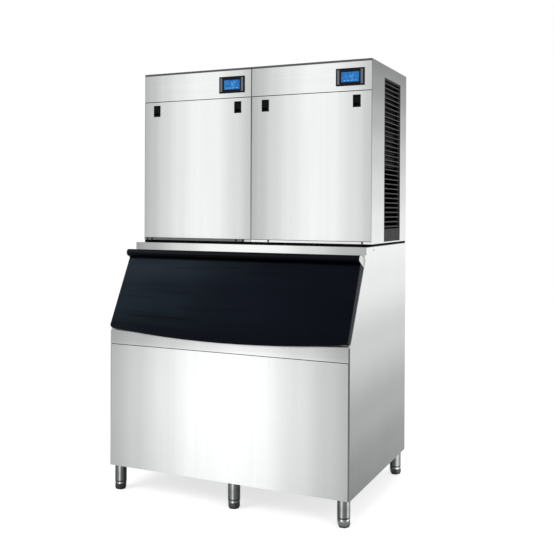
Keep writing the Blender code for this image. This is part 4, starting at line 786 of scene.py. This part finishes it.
def add_screw(bm, centre, radius, height, direction):
    """A domed screw head with a dimple, standing on a face that faces direction."""
    turn = Vector(direction).to_track_quat("Z", "Y").to_matrix()
    rings = [(1.0, 0.0), (1.0, 0.35), (0.82, 0.8), (0.45, 1.0)]
    sides = 16
    dimple = 0.7
    loops = []
    for scale, rise in rings:
        loop = []
        for i in range(sides):
            angle = 2 * pi * i / sides
            reach = radius * scale
            point = Vector((reach * cos(angle), reach * sin(angle), height * rise))
            loop.append(bm.verts.new(turn @ point + Vector(centre)))
        loops.append(loop)
    for first, second in zip(loops, loops[1:]):
        for i in range(sides):
            bm.faces.new((first[i], first[(i + 1) % sides], second[(i + 1) % sides], second[i]))
    middle = bm.verts.new(turn @ Vector((0, 0, height * dimple)) + Vector(centre))
    for i in range(sides):
        bm.faces.new((loops[-1][i], loops[-1][(i + 1) % sides], middle))


def add_digit(bm, figure, x, y, z):
    """Seven-segment figure with its lower left corner at x, z, on the plane y."""
    width, height = FIGURE_SIZE
    half = height / 2
    level = (width - FIGURE_BAR, FIGURE_SHEET, FIGURE_BAR)
    upright = (FIGURE_BAR, FIGURE_SHEET, half - FIGURE_BAR)
    bars = {
        "a": (width / 2, height, level), "g": (width / 2, half, level), "d": (width / 2, 0, level),
        "b": (width, 1.5 * half, upright), "c": (width, 0.5 * half, upright),
        "e": (0, 0.5 * half, upright),
    }
    for key in SEGMENTS[figure]:
        across, up, size = bars[key]
        add_box(bm, (x + across, y, z + up), size)


def add_display(head):
    """Lit figures and dashes on the screen, and plain key marks on the strips beside it."""
    low, high = SCREENS[head]
    y = low[1] - FIGURE_SHEET / 2
    width, height = high[0] - low[0], high[2] - low[2]
    glow = Nodes(head + "_figures_finish", roughness=0.3)
    tint = glow.mix(glow.noise(90.0), srgb(100, 172, 230), srgb(78, 152, 218))
    glow.colour(tint)
    glow.glow(tint, 0.35)
    bm = bmesh.new()
    left, foot = low[0] + width * FIGURE_PLACE[0], low[2] + height * FIGURE_PLACE[1]
    for i, figure in enumerate("-12"):
        add_digit(bm, figure, left + i * FIGURE_STEP, y, foot)
    dash_z = low[2] + height * DASH_PLACE[1]
    for i in range(DASHES):
        add_box(bm, (low[0] + width * (DASH_PLACE[0] + DASH_STEP * i), y, dash_z), DASH_SIZE)
    new_piece(head + "_display_figures", bm, glow.material, "machine")
    bezel_low, bezel_high = BEZELS[head]
    marks = plastic(head + "_key_marks_finish", srgb(138, 142, 148), 0.5)
    bm = bmesh.new()
    middle = (bezel_low[2] + bezel_high[2]) / 2
    for x in ((bezel_low[0] + low[0]) / 2, (bezel_high[0] + high[0]) / 2):
        for i in (-1, 0, 1):
            for drop, size in KEY_MARKS:
                add_box(bm, (x, bezel_low[1] - KEY_LIFT, middle + i * KEY_STEP + drop), size)
    new_piece(head + "_key_marks", bm, marks, "machine")


def add_trim():
    """Clips along the base strips, screws, and what the two controllers show."""
    clip_look = plastic("clip_finish", srgb(8, 8, 9), 0.5, 700.0, 0.00005, 0.10)
    screw_look = metal("back_screw_finish", srgb(170, 172, 174), 0.35)
    strip_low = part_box("left_chassis")[0]
    clip_y = strip_low[1] - CLIP_SINK
    clip_z = strip_low[2] + CLIP_SIZE[2] / 2 + CLIP_LIFT
    for head, spots in CLIP_SPOTS.items():
        bm = bmesh.new()
        for x in spots:
            add_box(bm, (x, clip_y, clip_z), CLIP_SIZE)
        bmesh.ops.bevel(bm, geom=bm.edges[:], offset=CLIP_EDGE, segments=2, affect="EDGES")
        new_piece(head + "_strip_clips", bm, clip_look, "machine")
        low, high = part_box(head + "_chassis")
        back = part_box(head + "_side_left")[1][1] - BACK_STEP
        step = (high[2] - low[2] - 2 * BACK_SCREW_MARGIN) / (BACK_SCREWS - 1)
        bm = bmesh.new()
        for i in range(BACK_SCREWS):
            for x in (low[0] + BACK_SCREW_EDGE, high[0] - BACK_SCREW_EDGE):
                spot = (x, back, low[2] + BACK_SCREW_MARGIN + i * step)
                add_screw(bm, spot, *BACK_SCREW_SIZE, (0, 1, 0))
        new_piece(head + "_back_screws", bm, screw_look, "machine")
        add_display(head)
    bm = bmesh.new()
    for side, x in ((-1, SHELL_LOW[0]), (1, SHELL_HIGH[0])):
        add_screw(bm, (x, *SHELL_SCREW_PLACE), *SHELL_SCREW_SIZE, (side, 0, 0))
    new_piece("shell_screws", bm, screw_look, "machine")


def seen_directly(tree):
    """1 where the camera, a reflection or glass looks, 0 where the surface lights other things."""
    path = tree.nodes.new("ShaderNodeLightPath")
    total = path.outputs["Is Camera Ray"]
    for name in ("Is Glossy Ray", "Is Transmission Ray"):
        most = tree.nodes.new("ShaderNodeMath")
        most.operation = "MAXIMUM"
        tree.links.new(total, most.inputs[0])
        tree.links.new(path.outputs[name], most.inputs[1])
        total = most.outputs[0]
    return total


def lit_and_shown(tree, lighting, shown, target):
    """Feeds target from one shader where the surface lights things, from another where seen."""
    mix = tree.nodes.new("ShaderNodeMixShader")
    tree.links.new(seen_directly(tree), mix.inputs[0])
    tree.links.new(lighting, mix.inputs[1])
    tree.links.new(shown, mix.inputs[2])
    tree.links.new(mix.outputs[0], target)


def build_surround():
    """A world that lights softly and is seen as white."""
    world = bpy.data.worlds.new("studio")
    bpy.context.scene.world = world
    world.use_nodes = True
    tree = world.node_tree
    base = tree.nodes["Background"]
    base.inputs["Color"].default_value = SKY_TONE
    base.inputs["Strength"].default_value = SKY_STRENGTH
    shown = tree.nodes.new("ShaderNodeBackground")
    shown.inputs["Color"].default_value = WHITE
    target = tree.nodes["World Output"].inputs["Surface"]
    lit_and_shown(tree, base.outputs[0], shown.outputs[0], target)


def build_floor():
    """A matte floor that is seen as white, with the shadow kept."""
    look = bpy.data.materials.new("floor_finish")
    look.use_nodes = True
    tree = look.node_tree
    tree.nodes.remove(tree.nodes["Principled BSDF"])
    matte = tree.nodes.new("ShaderNodeBsdfDiffuse")
    matte.inputs["Color"].default_value = FLOOR_TONE
    lit = tree.nodes.new("ShaderNodeEmission")
    lit.inputs["Strength"].default_value = FLOOR_GLOW
    both = tree.nodes.new("ShaderNodeAddShader")
    tree.links.new(matte.outputs[0], both.inputs[0])
    tree.links.new(lit.outputs[0], both.inputs[1])
    target = tree.nodes["Material Output"].inputs["Surface"]
    lit_and_shown(tree, matte.outputs[0], both.outputs[0], target)
    bm = bmesh.new()
    bmesh.ops.create_circle(bm, cap_ends=True, segments=64, radius=FLOOR_RADIUS)
    floor = new_object("floor", bm, look)


def build_lamps():
    for name, (place, size, power) in LAMPS.items():
        lamp = bpy.data.lights.new(name, "AREA")
        lamp.shape = "RECTANGLE"
        lamp.size, lamp.size_y = size
        lamp.energy = power
        made = bpy.data.objects.new(name, lamp)
        made.location = place
        way = Vector(LAMP_TARGET) - Vector(place)
        made.rotation_euler = way.to_track_quat("-Z", "Y").to_euler()
        made.visible_glossy = False
        bpy.context.scene.collection.objects.link(made)


def build_camera():
    lens = bpy.data.cameras.new("camera")
    lens.lens = LENS
    lens.sensor_width = SENSOR_WIDTH
    lens.shift_y = SHIFT_Y
    camera = bpy.data.objects.new("camera", lens)
    upright = Matrix.Rotation(CAMERA_YAW, 4, "Z") @ Matrix.Rotation(pi / 2, 4, "X")
    roll = Matrix.Rotation(CAMERA_ROLL, 4, "Z")
    camera.matrix_world = Matrix.Translation(CAMERA) @ upright @ roll
    bpy.context.scene.collection.objects.link(camera)
    bpy.context.scene.camera = camera


bpy.context.scene.view_settings.view_transform = "Standard"
build_camera()
build_surround()
build_floor()
build_lamps()
shape_edges()
finish_nodes()
add_trim()
